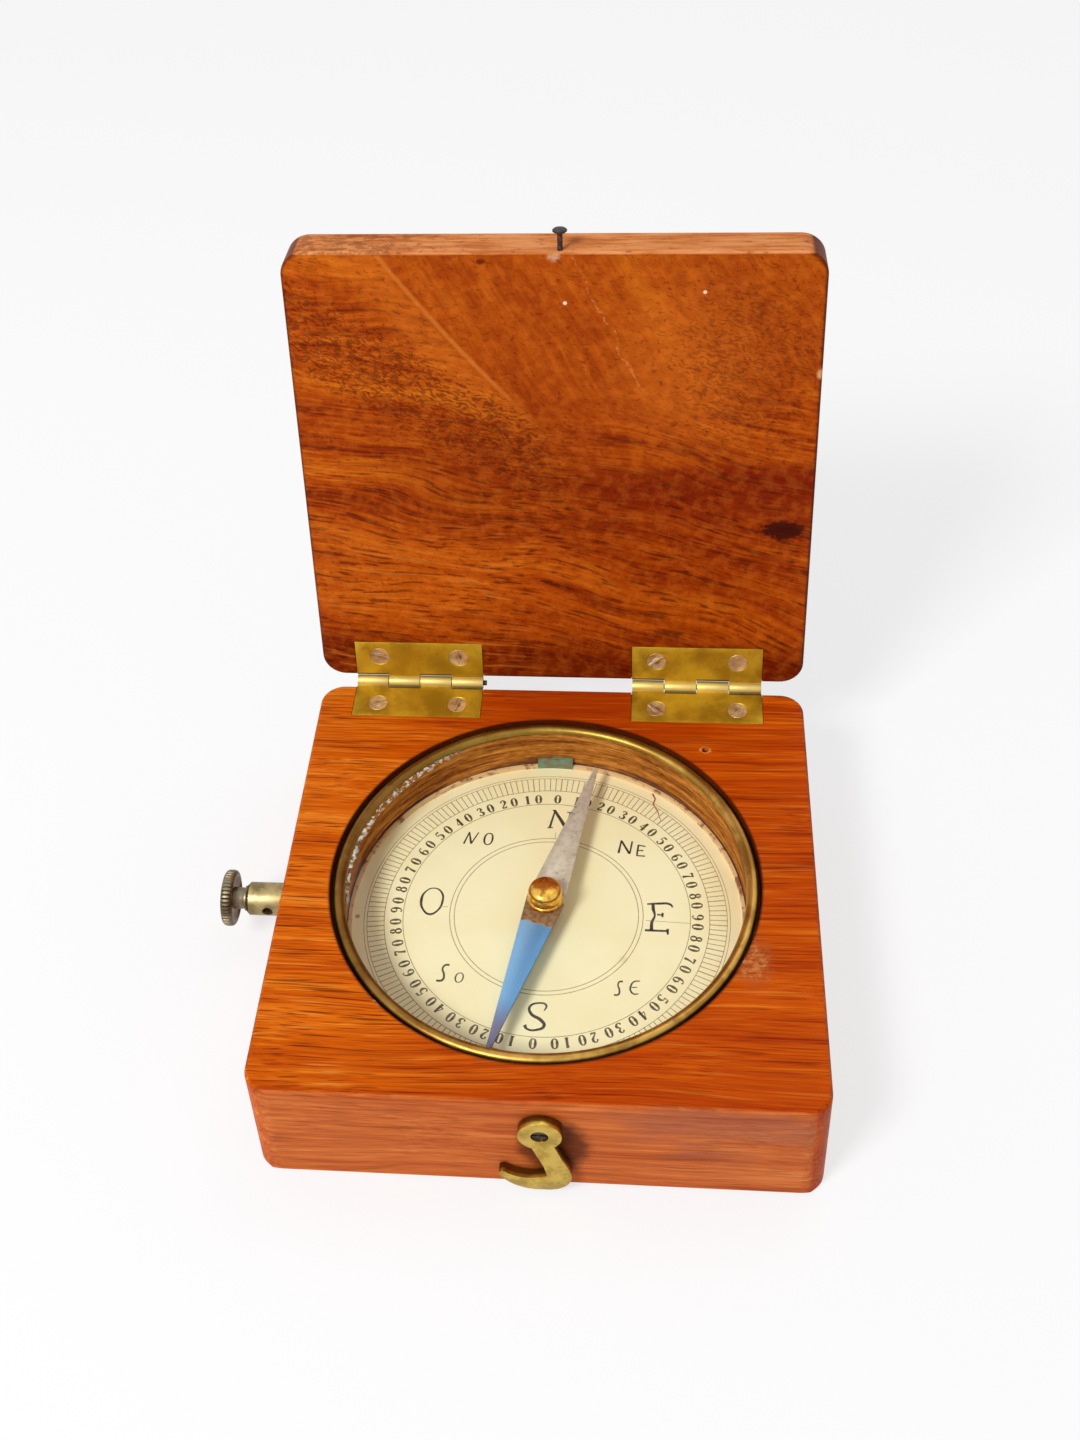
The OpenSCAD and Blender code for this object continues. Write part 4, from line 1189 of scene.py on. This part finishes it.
# Dirt and painted shade on the outer slope, down by the gap in the wood
outer = step(from_middle(place), 37.4, 37.9)
colour = mix(outer * 0.7, colour, tone(66, 38, 16))
surface(
    bezel_brass,
    Base_Color=colour,
    Metallic=0.95 - lime * 0.5,
    Roughness=0.30 + clouds * 0.15 + lime * 0.2,
    Normal=bump(noise(place, 1.8, 4), 0.03, 0.4),
)
dress("bezel_ring", bezel_brass)


# Lock: a brass barrel screwed into the west side, a thin washer and the shaft's knurled
# knob. Turning the knob lifts the needle off its point.
lock_axis = Matrix.Translation((0, 3.2, 10.55)) @ Matrix.Rotation(math.radians(90), 4, "Y")
lock_brass = brass("lock_brass", tone(176, 158, 112), tone(132, 114, 76), tone(70, 56, 36))
knob_brass = brass("knob_brass", tone(138, 128, 104), tone(98, 88, 68), tone(52, 44, 32))
barrel = eased_copy("lock_barrel", 0.10)
barrel = piece_of("lock_barrel_turned", barrel, [lock_brass], "case")
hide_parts("lock_barrel")
dress("lock_washer", knob_brass)

# The knob's face, its round rim, its hollow back and its neck; every fourth row of points
# on the rim is pressed in, which makes the grooves of the knurl
knob_profile = [(0, -60.5), (4.1, -60.5), (4.5, -60.46)]
knob_profile += [(4.86, -60.34), (5.08, -60.1), (5.16, -59.8), (5.18, -59.4)]
knob_profile += [(5.16, -59.0), (5.08, -58.7), (4.86, -58.46), (4.5, -58.34)]
knob_profile += [(4.2, -58.32), (4.05, -58.5), (3.3, -58.76), (2.3, -58.8), (2.05, -58.7)]
knob_profile += [(1.98, -58.3), (1.98, -57.1), (1.8, -56.62), (0, -56.62)]
grooves = 44
groove_depth = 0.26
rim_start = 4.5
knob = turned(knob_profile, 4 * grooves)
for v in knob.verts:
    reach = math.hypot(v.co.x, v.co.y)
    row = round(math.degrees(math.atan2(v.co.y, v.co.x)) / (90 / grooves))
    if reach > rim_start and row % 4 == 0:
        v.co.x *= 1 - groove_depth / reach
        v.co.y *= 1 - groove_depth / reach
knob = piece_of("lock_knob_knurled", knob, [knob_brass], "lock", lock_axis)
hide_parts("lock_knob")


# Hook: cast in brass and filed round, hanging in front of a washer from a steel screw in
# the front of the case.
def hook_dirt_and_shade(place):
    """Its face was polished by handling; its sides are darkened with dirt and painted shade."""
    return ((step(axis(place, "Y"), -47.3, -46.7) * 0.8, tone(74, 50, 14)),)


hook_brass = brass(
    "hook_brass", tone(210, 178, 84), tone(170, 138, 54), tone(92, 66, 24), rough=0.26, marks=hook_dirt_and_shade
)
hook = eased_copy("catch_hook", 0.42, 4)
hook = piece_of("cast_hook", hook, [hook_brass], "hook")
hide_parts("catch_hook")
dress("hook_washer", hook_brass)
dress("hook_screw", pin_paint)


# Nail: a dark steel wire nail with a flattened head, driven into the lid's front edge,
# which the hook catches when the lid is shut.
nail_profile = [(0, 9.2), (0.15, 9.0), (0.45, 8.2), (0.45, -0.1), (0.52, -0.3), (0.47, -0.6)]
nail_profile += [(0.46, -3.1), (0.62, -3.36), (1.12, -3.42), (1.28, -3.55), (1.29, -3.74)]
nail_profile += [(1.12, -3.9), (0.6, -3.97), (0, -3.99)]
nail_place = lid_place @ Matrix.Translation((2.3, -45.55, 22.5))
nail_place = nail_place @ Matrix.Rotation(math.radians(-90), 4, "X")
nail = turned(nail_profile, 40)
bmesh.ops.transform(nail, matrix=nail_place, verts=nail.verts)
bmesh.ops.recalc_face_normals(nail, faces=nail.faces)
nail = piece_of("catch_nail_wire", nail, [pin_paint], "lid")
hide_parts("catch_nail")
